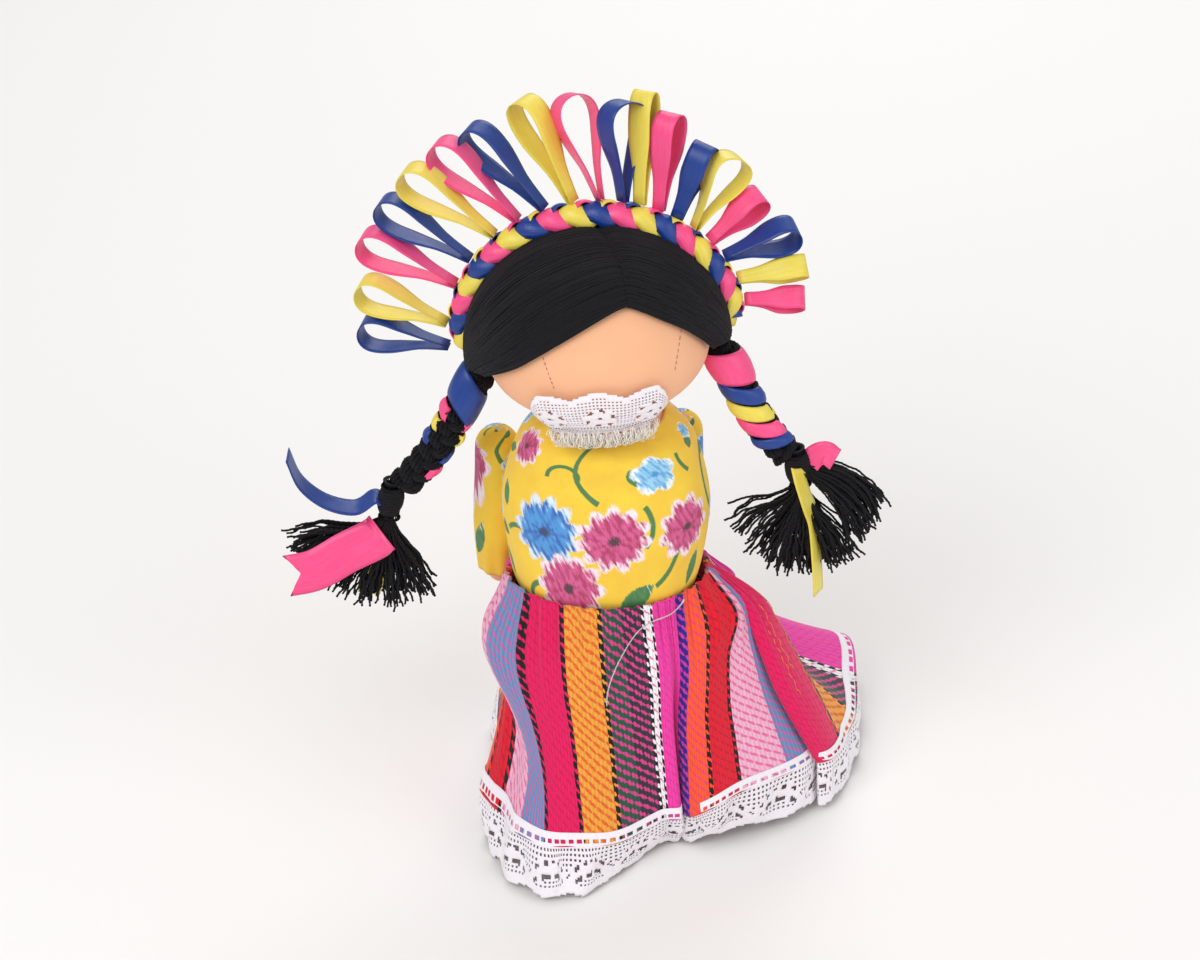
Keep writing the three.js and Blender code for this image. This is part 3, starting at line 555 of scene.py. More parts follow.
torso = sheet("torso_cloth", 48, 40, torso_point, lambda u, v: (180 * u, 90 * v), closed=True)
peach_cotton, tree, shader = finish("peach_cotton_percale", "f2b68c", 0.85, sheen=0.12, specular=0.3)
percale = in_object(tree)
paint(shader, shade(noise(percale, 0.05), "efb085", "f6bd96"))
raise_by(shader, waves(percale, 0.5) + waves(percale, 0.5, "Z"), 0.04, 0.4)
dress(torso, "torso", "peach_cotton", peach_cotton, "torso_skin")
torso_filling = fill("torso_filling", 32, 28, lambda u, v: torso_point(u, clamp(v, 0.02, 0.98), -1.2),
                     (170, 80), "torso", "torso_stuffing")
for vertex in torso_filling.data.vertices:
    vertex.co.z = clamp(vertex.co.z, *(on_doll(0, 0, z).z for z in TORSO_FILL_HEIGHTS))

# %% [markdown]
# The head is an egg of the same cotton, drawn round a firm ball of filling. Its seams are at the
# back. On the face, the maker tacked the cotton with thin red thread, which shows as two fine
# slanting lines. The embroidered eyes and mouth lie behind the lace of the collar.

# %% Head and its stuffing
HEAD_MIDDLE = Vector((0, -1, 24.5))
HEAD_RADIUS = 30.5
HEAD_DEPTH = 0.92
SKULL_HEIGHT = 28


def head_outline():
    """(radius, height) from the flat under the chin to the crown, from the neck's pivot."""
    jaw = []
    bends = (9, 8.3), (20, 8.3), (HEAD_RADIUS, 15.5), (HEAD_RADIUS, HEAD_MIDDLE.z)
    for i in range(13):
        t = i / 12
        weights = ((1 - t) ** 3, 3 * t * (1 - t) ** 2, 3 * t * t * (1 - t), t ** 3)
        jaw.append(tuple(sum(w * p[j] for w, p in zip(weights, bends)) for j in (0, 1)))
    skull = []
    for angle in (8, 18, 28, 38, 48, 58, 68, 78, 89.5):
        a = math.radians(angle)
        skull.append((HEAD_RADIUS * math.cos(a), HEAD_MIDDLE.z + SKULL_HEIGHT * math.sin(a)))
    return [(0.2, 8.3), (4.5, 8.3), *jaw, *skull]


HEAD_LINE = head_outline()


def face_radius(z, out=0.0):
    """The head's half width at a height, out millimetres above its cloth."""
    for (r0, z0), (r1, z1) in zip(HEAD_LINE[2:], HEAD_LINE[3:]):
        if z1 >= z:
            radius = lerp(r0, r1, clamp((z - z0) / (z1 - z0 or 1)))
            slope = (r1 - r0) / max(z1 - z0, 0.2)
            return radius + out * min(math.sqrt(1 + slope * slope), 3)
    return out


def face_point(x, z, out=0.0):
    """The place on the face at x and z in head axes."""
    radius = face_radius(z)
    y = HEAD_MIDDLE.y - HEAD_DEPTH * math.sqrt(max(radius * radius - x * x, 0.01))
    place = Vector((x, y, z))
    return on_head(*(place + (place - HEAD_MIDDLE).normalized() * out))


head_line = outline(HEAD_LINE, 120)


def round_head(radius, share, z):
    """A place on a ring round the head's own upright axis."""
    x, y = ring(radius, share, HEAD_DEPTH)
    return on_head(x, HEAD_MIDDLE.y + y, z)


def head_place(u, v, out=0.0):
    radius, z = head_line(v)
    return round_head(radius + out, u, z + out * (z - HEAD_MIDDLE.z) / SKULL_HEIGHT)


head = sheet("head_cloth", 72, 64, head_place, lambda u, v: (190 * u, 110 * v), closed=True)
dress(head, "head", "peach_cotton", peach_cotton, "head_skin")
fill("head_filling", 40, 36, lambda u, v: head_place(u, clamp(v, 0.01, 0.99), -1.2),
     (180, 100), "head", "head_stuffing")

# %% Stitches on the face
def stitch_patch(name, x, z, width, height, slot, material, node, count):
    """A satin-stitched oval: short threads laid side by side, each a low arch over the cloth."""
    paths = []
    for i in range(count):
        s = -1 + 2 * (i + 0.5) / count
        half = height / 2 * math.sqrt(1 - s * s) + 0.1
        steps = [-1 + j / 3 for j in range(7)]
        paths.append([face_point(x + s * width / 2, z + t * half, 0.12 + 0.34 * math.sqrt(1 - t * t * 0.98))
                      for t in steps])
    dress(yarns(name, paths, 0.17 * MM), "head", slot, material, node)


stitch_patch("eye_floss_left", -12.6, 20.5, 3.6, 2.2, "brown_floss", brown_floss, "eye_left", 14)
stitch_patch("eye_floss_right", 12.6, 20.5, 3.6, 2.2, "brown_floss", brown_floss, "eye_right", 14)
stitch_patch("mouth_floss", 0, 13.5, 6, 1.8, "red_floss", red_floss, "mouth", 22)

TACKS = 9
TACK_SHARE = 0.07
seam_stitches = []
for x0, z0, x1, z1 in ((-14.2, 37, -11.2, 26), (24, 38, 20.5, 25.5)):
    for k in range(TACKS):
        places = [k / TACKS + TACK_SHARE * f / 4 for f in range(5)]
        seam_stitches.append([face_point(lerp(x0, x1, t), lerp(z0, z1, t), 0.12 * math.sin(math.pi * f / 4))
                              for f, t in enumerate(places)])
face_tacks = yarns("face_tacking_thread", seam_stitches, 0.09 * MM, sides=5)
dress(face_tacks, "head", "red_floss", red_floss)

# %% [markdown]
# The hair is skeins of fine black yarn. Two halves part above the forehead and sweep down to the
# roots of the braids, and a third covers the back. Under the strands lies a thin cap that keeps
# the light out. Each strand crosses its skein from front to back of the sweep, and wavers a little.

# %% Hair
HAIR_INNER = Vector((30.9, 28.66, 28.4))
HAIR_OUTER = Vector((37, 31.26, 34.8))


def hair_place(direction, height):
    """A place over the head at a height share between the hair's inside, 0, and outside, 1."""
    return on_head(*(HEAD_MIDDLE + direction.normalized() * HAIR_INNER.lerp(HAIR_OUTER, height)))


def along_run(points, samples=81):
    run = [Vector(p) for p in curve_through([Vector(p).normalized() for p in points], samples)]
    return lambda t: sample(run, t)


APEX = (0.3, -0.64, 0.7)
CROWN = (0.08, 0.18, 0.98)
SKEINS = {
    "left": (along_run([APEX, (-0.24, -0.83, 0.5), (-0.6, -0.75, 0.25), (-0.92, -0.36, -0.03)]),
             along_run([CROWN, (-0.5, 0.2, 0.84), (-0.85, 0.2, 0.45), (-0.98, 0.2, 0.03)])),
    "right": (along_run([APEX, (0.56, -0.64, 0.54), (0.8, -0.54, 0.34), (0.95, -0.28, 0.02)]),
              along_run([CROWN, (0.5, 0.2, 0.84), (0.85, 0.2, 0.45), (0.98, 0.2, 0.06)])),
    "back": (along_run([(-0.97, 0.28, 0), (-0.84, 0.32, 0.45), (-0.45, 0.36, 0.82), (0, 0.36, 0.93),
                        (0.45, 0.36, 0.82), (0.84, 0.32, 0.45), (0.97, 0.28, 0)]),
             along_run([(-0.93, 0.36, -0.12), (-0.72, 0.66, -0.34), (-0.4, 0.86, -0.36), (0, 0.92, -0.36),
                        (0.4, 0.86, -0.36), (0.72, 0.66, -0.34), (0.93, 0.36, -0.12)])),
}


def swell(s, t, whole):
    """How full a skein is. It is thin at its front edge and full under the band."""
    if whole:
        return lerp(0.45, 1, ease(1 - t, -0.05, 0.35))
    return lerp(0.3, 1, ease(t, -0.05, 0.3)) * lerp(0.8, 1, ease(s, 0, 0.06))


random.seed(11)
for name, (front, back) in SKEINS.items():
    strands = []
    whole = name == "back"
    count = 230 if whole else 210
    for i in range(count):
        share = (i + 0.5) / count
        phase, depth = random.uniform(0, 6), random.uniform(-0.06, 0.03)
        path = []
        for j in range(27):
            k = j / 26
            s, t = (share, k) if whole else (k, share)
            waver = 0.007 * math.sin(2.2 * k * math.pi + phase)
            direction = front(s).lerp(back(s), t) + Vector((0, waver, waver))
            path.append(hair_place(direction, 0.9 * swell(s, t, whole) + depth))
        strands.append(path)
    skein = yarns(f"hair_strands_{name}", strands, 0.3 * MM, sides=5)
    dress(skein, "head", "black_yarn", black_yarn, f"hair_{name}")
    cap = sheet(f"hair_cap_{name}", 24, 18,
                lambda u, v: hair_place(front(u).lerp(back(u), v), 0.7 * swell(u, v, whole)),
                lambda u, v: (60 * u, 40 * v))
    thicken(cap, 0.8)
    dress(cap, "head", "black_yarn", black_yarn)

# %% [markdown]
# Each braid starts under the hair at the side of the head. Three plaited skeins run down it. The
# ribbons are wound over them, so that the yarn shows only between the turns.

# %% Braids and their wound ribbon
# each side's sign, its braid's reach in mm, its tassel's tilt and its spread out and in, in degrees
SIDES = {"left": (-1, 27.7, 12, (60, 48)), "right": (1, 17.7, 4, (54, 60))}
ROOT_X = 34.3


def braid_line(side):
    sign, reach, _, _ = SIDES[side]
    start, end = np.array([sign * ROOT_X, -1, 17.0]), np.array([sign * (ROOT_X + reach), -7, -16.0])
    bend = (start + end) / 2 + np.array([sign * -1.5, 0, -1.5])
    return curve_through([start, bend, end], 61)


def braid_at(line, t):
    """The braid's middle at a share of its length. Below 0 it runs on straight into the hair."""
    if t < 0:
        return line[0] + (line[1] - line[0]) * max(t, -0.2) * (len(line) - 1)
    return sample(line, t)


def beside_braid(line, t, behind, aside):
    """A place at a share of the braid's length, so many millimetres behind and beside its middle."""
    along = braid_at(line, min(t + 0.02, 1)) - braid_at(line, t - 0.02)
    along /= np.linalg.norm(along)
    back = np.array([0, 1, 0]) - along * along[1]
    back /= np.linalg.norm(back)
    return on_head(*(braid_at(line, t) + back * behind + np.cross(along, back) * aside))


# start and end along the braid, colour, start and width round it in degrees from the front, slope
WRAPS = {
    "left": [(0.0, 0.24, "blue", -180, 360, 0.07), (0.3, 0.4, "pink", -160, 120, 0.1),
             (0.42, 0.51, "yellow", -150, 95, 0.1), (0.53, 0.63, "blue", -165, 110, 0.1),
             (0.3, 0.42, "pink", 40, 110, -0.1), (0.46, 0.54, "yellow", 55, 80, -0.1),
             (0.58, 0.67, "blue", 45, 90, -0.1), (0.7, 0.79, "pink", 30, 100, -0.1)],
    "right": [(-0.07, 0.18, "pink", -180, 360, 0.05), (0.2, 0.34, "blue", -130, 250, 0.08),
              (0.35, 0.49, "yellow", -150, 250, 0.08), (0.5, 0.64, "pink", -160, 260, 0.09),
              (0.65, 0.75, "blue", -120, 230, 0.06), (0.25, 0.34, "pink", 122, 55, -0.06),
              (0.38, 0.48, "blue", 105, 70, -0.06), (0.55, 0.64, "yellow", 105, 65, -0.06)],
}
BRAIDED = 3
PLIES = 12
PLY_RADIUS = 2.25
for side in SIDES:
    line = braid_line(side)
    strands = []
    for skein in range(BRAIDED):
        for ply in range(PLIES):
            path = []
            for k in range(70):
                t = -0.1 + 0.98 * k / 69
                a = 2 * math.pi * (3.2 * t + skein / BRAIDED)
                b = 2 * math.pi * (ply / PLIES + 1.1 * t)
                full = (1 - 0.1 * t) * (math.sqrt(clamp(1 - (t / 0.13) ** 2)) if t < 0 else 1)
                behind = full * (1.5 * math.sin(2 * a) + PLY_RADIUS * math.cos(b))
                aside = full * (2.3 * math.sin(a) + PLY_RADIUS * math.sin(b))
                path.append(beside_braid(line, t, behind, aside))
            strands.append(path)
    braid = yarns(f"braid_strands_{side}", strands, 0.6 * MM, sides=5, twist=200)
    dress(braid, f"{side}_braid", "black_yarn", black_yarn, f"braid_{side}")
    for n, (start, stop, tint, from_angle, round_it, slope) in enumerate(WRAPS[side]):
        def wrap(u, v):
            turned = math.radians(from_angle + round_it * u)
            t = lerp(start, stop, v) + slope * math.sin(turned)
            bulge = 0.7 * (1 - (2 * v - 1) ** 2) ** 0.6
            crease = 0.22 * math.sin(4 * turned + 3 * n) * (1 - abs(2 * v - 1))
            tucked = 1.2 * (1 - ease(min(u, 1 - u), 0, 0.12)) if round_it < 360 else 0
            out = 4.9 - 0.6 * t + bulge + crease - tucked
            return beside_braid(line, t, -out * math.cos(turned), out * math.sin(turned))
        turn = sheet(f"braid_wrap_{side}_{n}", 44, 10, wrap,
                     lambda u, v: (33 * u * round_it / 360, RIBBON_WIDTH * v), closed=round_it == 360)
        thicken(turn, RIBBON_THICKNESS, 1)
        dress(turn, f"{side}_braid", f"{tint}_satin", satins[tint])
        if n == 0:
            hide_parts(f"braid_ribbon_{side}")

# %% [markdown]
# Below each braid its ends are bound with black yarn and spread as a tassel. Each is a fan of 250
# fine strands. They leave the tie in a bundle and part towards their cut ends.

# %% Tassel frames
def tassel_frame(side):
    """(knot, axes) of a tassel: its knot is the swing's pivot, and it tilts against the head."""
    sign, _, tilt, _ = SIDES[side]
    knot = pivots[f"{side}_tassel_swing"]
    return knot, head_turn @ Matrix.Rotation(math.radians(sign * -tilt), 3, "Y")


def on_tassel(side, x, y, z):
    knot, axes = tassel_frame(side)
    return knot + axes @ Vector((x, y, z)) * MM


# %% Ties and tassels
# height and fullness down the bundle inside a tie
TIE_CORE = ((6, 0.9), (4, 1.1), (2, 1), (0, 0.9), (-2, 0.95), (-4, 1), (-6, 1.15))
TIE_TURNS = 10
TASSEL_LENGTH = 35
TASSEL_STRANDS = 250
SPARSE_FROM = 0.86


def winding(side, layer, steps=260):
    """One layer of the yarn that is wound round a tie."""
    path = []
    for k in range(steps):
        t = k / (steps - 1)
        height = lerp(4.1, -4.1, t)
        radius = 3.3 * math.sqrt(max(1 - (height / 5.2) ** 2, 0)) - 0.5 * layer
        share = TIE_TURNS * t + 0.37 * layer
        lean = 0.8 * math.sin(2 * math.pi * share + 1 + 2 * layer)
        path.append(on_tassel(side, *ring(radius, share), height + lean))
    return path


random.seed(23)
for side, (sign, _, _, (outer, inner)) in SIDES.items():
    core = [[on_tassel(side, *ring(2.4 * full, k / 24), z) for z, full in TIE_CORE] for k in range(24)]
    wound = [winding(side, 0), winding(side, 1), *core]
    tie = yarns(f"tie_yarn_{side}", wound, 0.55 * MM, sides=6, twist=300)
    dress(tie, f"{side}_tassel", "black_yarn", black_yarn, f"tassel_tie_{side}")

    strands = []
    for i in range(TASSEL_STRANDS):
        share = (i + random.random()) / TASSEL_STRANDS
        if side == "right" and share > SPARSE_FROM:
            across = (share - SPARSE_FROM) / (1 - SPARSE_FROM) * 0.45 + 0.55
        else:
            across = share * 0.8
        angle = math.radians(lerp(outer, -inner, across))
        shorter = 0.6 if angle < 0 else 0.92
        reach = TASSEL_LENGTH * (1 - (1 - shorter) * math.sin(abs(angle)) ** 2) * random.uniform(0.88, 1.02)
        depth = random.uniform(-1, 1)
        phase, kink = random.uniform(0, 6), random.uniform(0.15, 0.4)
        droops = side == "right" and angle > 0.4
        reach *= 0.86 if droops else 1
        turn = random.uniform(-0.14, 0.14)
        path = []
        for k in range(24):
            t = k / 23
            length = lerp(2.5, reach, t)
            bent = angle * (lerp(1.75, 1, t) if droops else ease(t, -0.15, 0.75)) + turn * t * t
            wave = kink * math.sin(2 * math.pi * length / 5.5 + phase) * t
            x = sign * (length * math.sin(bent) + wave * math.cos(bent))
            y = depth * 4.5 * lerp(0.45, 1, length / TASSEL_LENGTH) + wave * 0.6 * math.cos(phase)
            z = -length * math.cos(bent) + wave * math.sin(bent)
            path.append(on_tassel(side, x, y, z))
        strands.append(path)
    tassel = yarns(f"tassel_strands_{side}", strands, 0.36 * MM, sides=5, twist=130)
    dress(tassel, f"{side}_tassel", "black_yarn", black_yarn, f"tassel_{side}")

# %% [markdown]
# Short tails of the ribbons stick out of the ties. Each is a strip of satin 6.5 mm wide, but the
# pink one at the left, which is 12 mm wide and cut to a notch at its end.

# %% Ribbon strips
def strip(name, points, across, width, thickness=RIBBON_THICKNESS, notch=0.0, samples=40, curl=0.0,
          pinch=1.0):
    """A ribbon along a curve. across is its width's direction, or a list with one for each sample.
    pinch narrows it at both ends. The result is in metres, and its UV runs along v."""
    run = curve_through(points, samples)
    along = np.gradient(run, axis=0)
    along /= np.linalg.norm(along, axis=1)[:, None]
    wide = np.broadcast_to(np.array(across, float), run.shape)
    wide = wide - along * np.sum(wide * along, axis=1)[:, None]
    wide /= np.linalg.norm(wide, axis=1)[:, None]
    face = np.cross(along, wide)
    length = float(np.linalg.norm(np.diff(run, axis=0), axis=1).sum()) / MM

    def place(u, v):
        s = 2 * u - 1
        t = clamp(v)
        if notch:
            t = min(t, 1 - notch / length * (1 - abs(s)) * ease(v, 0.4, 1))
        spot, side, up = (sample(rows, t) for rows in (run, wide, face))
        half = width / 2 * lerp(pinch, 1, ease(min(v, 1 - v), 0, 0.16)) * MM
        return Vector(spot + side * s * half + up * curl * MM * (1 - s * s))

    piece = sheet(name, 6, samples - 1, place, lambda u, v: (width * u, length * v))
    thicken(piece, thickness)
    return piece


# colour, side, width, direction of the width, depth of the notch, and route from the knot, in mm
TAILS = [
    ("blue", "left", RIBBON_WIDTH, (0, 1, 0.15), 0,
     [(-3, -0.5, 0.3), (-4.9, -1, 0.5), (-10, -4, -1.5), (-18, -6, 1), (-25, -7, 7), (-29, -8, 16)]),
    ("pink", "left", 12, (0.25, 0.35, 0.9), 4,
     [(-1.5, -4.6, -8.5), (-4, -5.1, -11), (-11, -6.9, -15), (-19, -9.4, -20), (-27, -11, -22)]),
    ("yellow", "left", RIBBON_WIDTH, (1, 0.2, 0), 0,
     [(-1, 4, -20), (-2, 5.6, -26), (-3, 6.4, -31), (-4, 6.2, -37)]),
    ("yellow", "right", RIBBON_WIDTH, (0.5, 1, 0), 0,
     [(0, -4.6, 2), (0, -5.6, 0), (1, -5, -8), (2, -2, -17), (1.5, -3, -28), (0.5, -4.5, -40)]),
    ("pink", "right", RIBBON_WIDTH, (0, 0.3, 1), 0, [(3, -1, 1), (5, -1, 3), (8, -1.5, 4), (10.5, -1, 1)]),
]
for tint, side, width, across, notch, route in TAILS:
    _, axes = tassel_frame(side)
    points = [on_tassel(side, *p) for p in route]
    tail = strip(f"ribbon_tail_{tint}_{side}", points, axes @ Vector(across), width, notch=notch)
    dress(tail, f"{side}_tassel", f"{tint}_satin", satins[tint], f"tail_{tint}_{side}")

# %% [markdown]
# The band over the crown is a plait of the three ribbons, on the join of the front and back hair.

# %% Headband
def band_place(degrees, out=0.0, sideways=0.0):
    """A place over the band's route at an angle round the head, in head axes and millimetres."""
    a = math.radians(degrees)
    d = Vector((math.cos(a), 0.24, math.sin(a))).normalized()
    return HEAD_MIDDLE + d * HAIR_OUTER + d * (3.3 + out) + Vector((0, sideways, 0))


PLAITS = 6.3
BAND_SAMPLES = 420
for n, tint in enumerate(("pink", "blue", "yellow")):
    rows, wides = [], []
    for k in range(BAND_SAMPLES):
        t = k / (BAND_SAMPLES - 1)
        degrees = lerp(179, 2, t)
        a = 2 * math.pi * (PLAITS * t + n / 3)
        low = 1.2 * (1 - ease(min(t, 1 - t), 0, 0.06))
        out = (band_place(degrees, 1) - band_place(degrees, 0)).normalized()
        ahead = (band_place(degrees - 0.5) - band_place(degrees + 0.5)).normalized()
        face = (out * 0.8 + Vector((0, 1, 0)) * 0.9 * math.sin(a)).normalized()
        rows.append(on_head(*band_place(degrees, 0.9 * math.sin(2 * a) - 1.1 - low, 1.9 * math.sin(a))))
        wides.append(head_turn @ face.cross(ahead))
    ribbon = strip(f"band_ribbon_{tint}", rows, wides, 6.4, 0.4, samples=BAND_SAMPLES, curl=1.8)
    dress(ribbon, "head", "braided_ribbon", satins[tint])
    if n == 0:
        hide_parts("headband")

# %% [markdown]
# Eighteen loops of the three ribbons stand on the band like the rays of a fan. Each is bent by
# hand, so each has its own direction, length, width of loop and turn. A loop rises along a
# teardrop: it leaves the band flat together and opens towards its rounded top.

# %% Ribbon loops
# colour, foot and direction in degrees, length, opening, turn in degrees, and lean to the front, in mm
LOOPS = [
    ("blue", 182, 168, 25.5, 9, -6, 1), ("yellow", 171.5, 157, 26.5, 9.5, -10, 0),
    ("pink", 153.5, 152, 29, 10, -12, 1), ("blue", 141, 146, 29, 9, -10, 0),
    ("yellow", 127, 142, 30, 10, -14, 1), ("pink", 116, 134, 30, 10, -16, 0),
    ("blue", 105, 129, 30, 9, -24, 1), ("yellow", 94, 112, 31, 9.5, -38, 0),
    ("pink", 84, 101, 30, 10.5, 30, 1), ("blue", 75.5, 85, 28, 12, 42, 2),
    ("yellow", 69, 82, 30, 5, 58, -2), ("pink", 61.5, 78, 27, 7.5, 58, 1),
    ("blue", 54, 63, 21.5, 7, 66, 0), ("yellow", 46, 54.5, 23, 10.5, 20, 1),
    ("pink", 38, 33, 18.5, 8, 40, -1), ("blue", 29, 11, 21.4, 9, 24, 1),
    ("yellow", 18, -1, 19.5, 6, 52, 0), ("pink", 8, -14, 17, 7, 48, -1),
]
for n, (tint, start, degrees, length, opening, turn, lean) in enumerate(LOOPS):
    a = math.radians(degrees)
    out = Vector((math.cos(a), math.sin(math.radians(12)), math.sin(a))).normalized()
    flat = (Vector((0, 1, 0)) - out * out.y).normalized()
    spin = Matrix.Rotation(math.radians(turn), 3, out)
    opens, wide = spin @ out.cross(flat), spin @ flat
    foot = band_place(start, 2.2)
    rows = []
    for j in range(25):
        u = -1 + j / 12
        rise = length * math.cos(u * math.pi / 2) ** 0.62
        swing = opening / 2 * math.sin(u * math.pi) + u * 0.5
        spot = foot + out * rise + opens * swing - Vector((0, lean * (rise / length) ** 2, 0))
        rows.append(on_head(*spot))
    loop = strip(f"satin_loop_{n + 1:02d}", rows, head_turn @ wide, RIBBON_WIDTH, samples=61, pinch=0.55)
    dress(loop, "head", f"{tint}_satin", satins[tint], f"ribbon_loop_{n + 1:02d}")

# %% [markdown]
# The collar is a strip of the same lace as the hem. It is sewn round the neck seam with a frayed
# cream edge, and it stands up in front of the chin, where the face shows through its holes.

# %% Lace
def lace_cloth(name, width, height, cell, surface, hole):
    """Lace on surface(s, t) in metres, of small cells. It is open where hole(x, y, mesh) is true. mesh
    marks every fourth cell, for the fine net. width and height are its flat size in millimetres."""
    columns, rows = (int(round(size / step)) for size, step in zip((width, height), cell))
    piece = sheet(name, columns, rows, surface, lambda u, v: (width * u, height * v))
    lace = bmesh.new()
    lace.from_mesh(piece.data)
    layer = lace.loops.layers.uv.active
    holes = []
    for face in lace.faces:
        corners = [corner[layer].uv for corner in face.loops]
        middle = sum(corners, Vector((0, 0))) / len(corners) * DECIMETRE
        mesh = int(middle.x / width * columns) % 2 and int(middle.y / height * rows) % 2
        if hole(*middle, mesh):
            holes.append(face)
    bmesh.ops.delete(lace, geom=holes, context="FACES")
    lace.to_mesh(piece.data)
    lace.free()
    thicken(piece, 0.25)
    return piece


# %% Collar
def collar_place(s, t, out=0.0):
    """The collar round the neck. It stands high in front, with a lobe at each end, and it lies low
    and close under the jaw at the sides and back."""
    a = 2 * math.pi * (s + 0.25)
    wave = 0.5 * math.sin(9 * a + 1) + 0.35 * math.sin(17 * a)
    front = math.degrees(math.acos(clamp(-math.sin(a), -1, 1)))
    low = ease(front, 28, 48)
    z = lerp(5.2, 8.6, low) + lerp(21, 1.6, low) * t + 0.5 * math.sin(7 * a) * t
    stand = lerp(1.2 + 1.1 * clamp(4 * t), 0.5, low)
    radius = face_radius(max(z, lerp(10.5, 8.4, low)), stand + out) + wave * 0.8 * clamp(t)
    return round_head(radius, s + 0.25, z)


def collar_hole(x, y, mesh):
    """The collar's holes: an eyelet ring in each repeat, a beading, and its scalloped top."""
    across = (x + 6) % 12 - 6
    petal = math.hypot(across, (y - 11) * 1.1)
    eyelets = 2.6 < petal < 3.6 and math.sin(6 * math.atan2(y - 11, across)) > 0.3
    beading = abs(y - 4) < 0.5 and x % 2.6 < 1.2
    net = mesh and 3.9 < petal and 5.5 < y < 17.5 - 1.4 * (across / 6) ** 2
    return eyelets or beading or net or petal < 0.6 or y > 19 - 1.4 * (across / 6) ** 2


collar = lace_cloth("collar_lace_cloth", 168, 19.5, (0.42, 0.46), collar_place, collar_hole)
dress(collar, "head", "white_lace", white_lace, "collar_lace")

FRAY_THREADS = 300
random.seed(5)
threads = []
for i in range(FRAY_THREADS):
    s = 0.5 + random.gauss(0, 0.07) if i % 5 else random.random()
    side_by = random.uniform(-0.016, 0.016)
    foot, tip = random.uniform(-0.1, 0.06), random.uniform(0.2, 1.0)
    threads.append([collar_place((s + side_by * k / 4) % 1, lerp(foot, tip, k / 4) * 0.35,
                                 0.2 + 1.2 * math.sin(math.pi * k / 5) * random.uniform(0.5, 1))
                    for k in range(5)])
fray = yarns("collar_fray", threads, 0.11 * MM, sides=4)
dress(fray, "head", "white_lace", cream_fray)

# %% [markdown]
# The blouse is printed poplin on a yellow ground: large loose flowers with pale fringed ends, leaves
# and curling stems. The print repeats every 82.5 mm, and each motif is laid out in the cloth's own
# millimetres. A fine noise along the brush strokes frays every edge of the print.

# %% Printed poplin
REPEAT = 82.5
printed_cotton, tree, shader = finish("printed_cotton_poplin", "f6cf1c", 0.7, sheen=0.1, specular=0.35)
poplin = millimetres(tree)
poplin_x, poplin_y = split(poplin)
strokes = poplin.node("ShaderNodeVectorMath", {"operation": "MULTIPLY", 1: (0.5, 1.9, 1)},
                      i0=millimetres(tree, turn=62))
bleed = (noise(strokes, 1.1) - 0.5) * 2.2
brush = noise(strokes, 0.5, 3)


def from_motif(x, y):
    """The distances across and up from a motif's middle. The print repeats across."""
    return (poplin_x + (REPEAT * 1.5 - x)) % REPEAT - REPEAT / 2, poplin_y - y


def length_of(x, y):
    return (x * x + y * y).apply("SQRT")


def soft_step(value, edge, width):
    """0 below an edge and 1 above it, with a soft change between."""
    settings = {"From Min": edge - width, "From Max": edge + width}
    return value.node("ShaderNodeMapRange", settings, Value=value)


def stem(base, x, y, radius, middle, half):
    """An arc of stem: its centre, radius, middle angle and half of its angle, in degrees."""
    across, up = from_motif(x, y)
    off = abs(length_of(across, up) - radius)
    angle = up.apply("ARCTAN2", across) - (math.radians(middle) - math.pi)
    turned = abs(angle % (2 * math.pi) - math.pi)
    line = 1.0 - soft_step(off + bleed * 0.15, 0.75, 0.18)
    return shade(line * turned.apply("LESS_THAN", math.radians(half)), base, "3f7a35")


def leaf(base, x, y, length, width, degrees):
    """A pointed leaf: its middle, half length, half width and direction."""
    across, up = from_motif(x, y)
    c, s = math.cos(math.radians(degrees)), math.sin(math.radians(degrees))
    run = across * (c / length) + up * (s / length)
    side = abs(up * (c / width) - across * (s / width)) + run * run
    inside = 1.0 - soft_step(side + bleed * 0.2, 0.95, 0.08)
    green = shade(brush, "16502f", "4d9a48")
    green = shade(soft_step(run + bleed, 0.95, 0.15) * 0.8, green, "f4f7ee")
    return shade(inside, base, green)


def blossom(base, x, y, size, petals, turn, dark, mid, tip, heart):
    """A flower of fringed petals round a dark heart."""
    across, up = from_motif(x, y)
    angle = up.apply("ARCTAN2", across) + turn
    lobes = abs((angle * (petals / 2)).apply("COSINE"))
    edge = (lobes * 0.24 + 0.76) * size
    share = (length_of(across, up) + bleed) / edge
    inside = 1.0 - soft_step(share, 0.97, 0.05)
    body = shade(soft_step(brush + lobes * 0.12, 0.55, 0.1), dark, mid)
    fringe = share + (brush - 0.5) * 0.9
    body = shade(soft_step(fringe + lobes * 0.14, 0.92, 0.1), body, tip)
    body = shade(1.0 - soft_step(share, 0.15, 0.04), body, heart)
    return shade(inside, base, body)


MAGENTA = ("b01f5a", "d8508f", "fbe9f0", "4a1830")
BLUE = ("1d5cb4", "3f97dc", "dfeefa", "173a6a")
SKY = ("5aaae6", "9ad6f4", "f6fcfe", "3f93dc")
STEMS = [(88, 46.5, 15, 184, 56), (69.5, 41.5, 4.8, 95, 100), (84, 26, 10.6, 0, 35),
         (90, 19.5, 13.2, -37, 24), (64.5, 2.5, 5.3, 135, 55), (116.5, 45, 9.3, 195, 28),
         (129, 30, 12, 160, 50), (140, 14, 8, 60, 80)]
LEAVES = [(49, 29, 3.8, 1.8, 115), (47.5, 18, 3.4, 2.2, 150), (90.5, 42.5, 4.6, 2.3, 100),
          (91, 5, 6, 3.3, 38), (110.5, 9, 5, 2.2, 70), (116.5, 47, 3, 2.5, 60), (124, 40, 4, 1.8, 20),
          (130, 8, 4, 2, 120)]
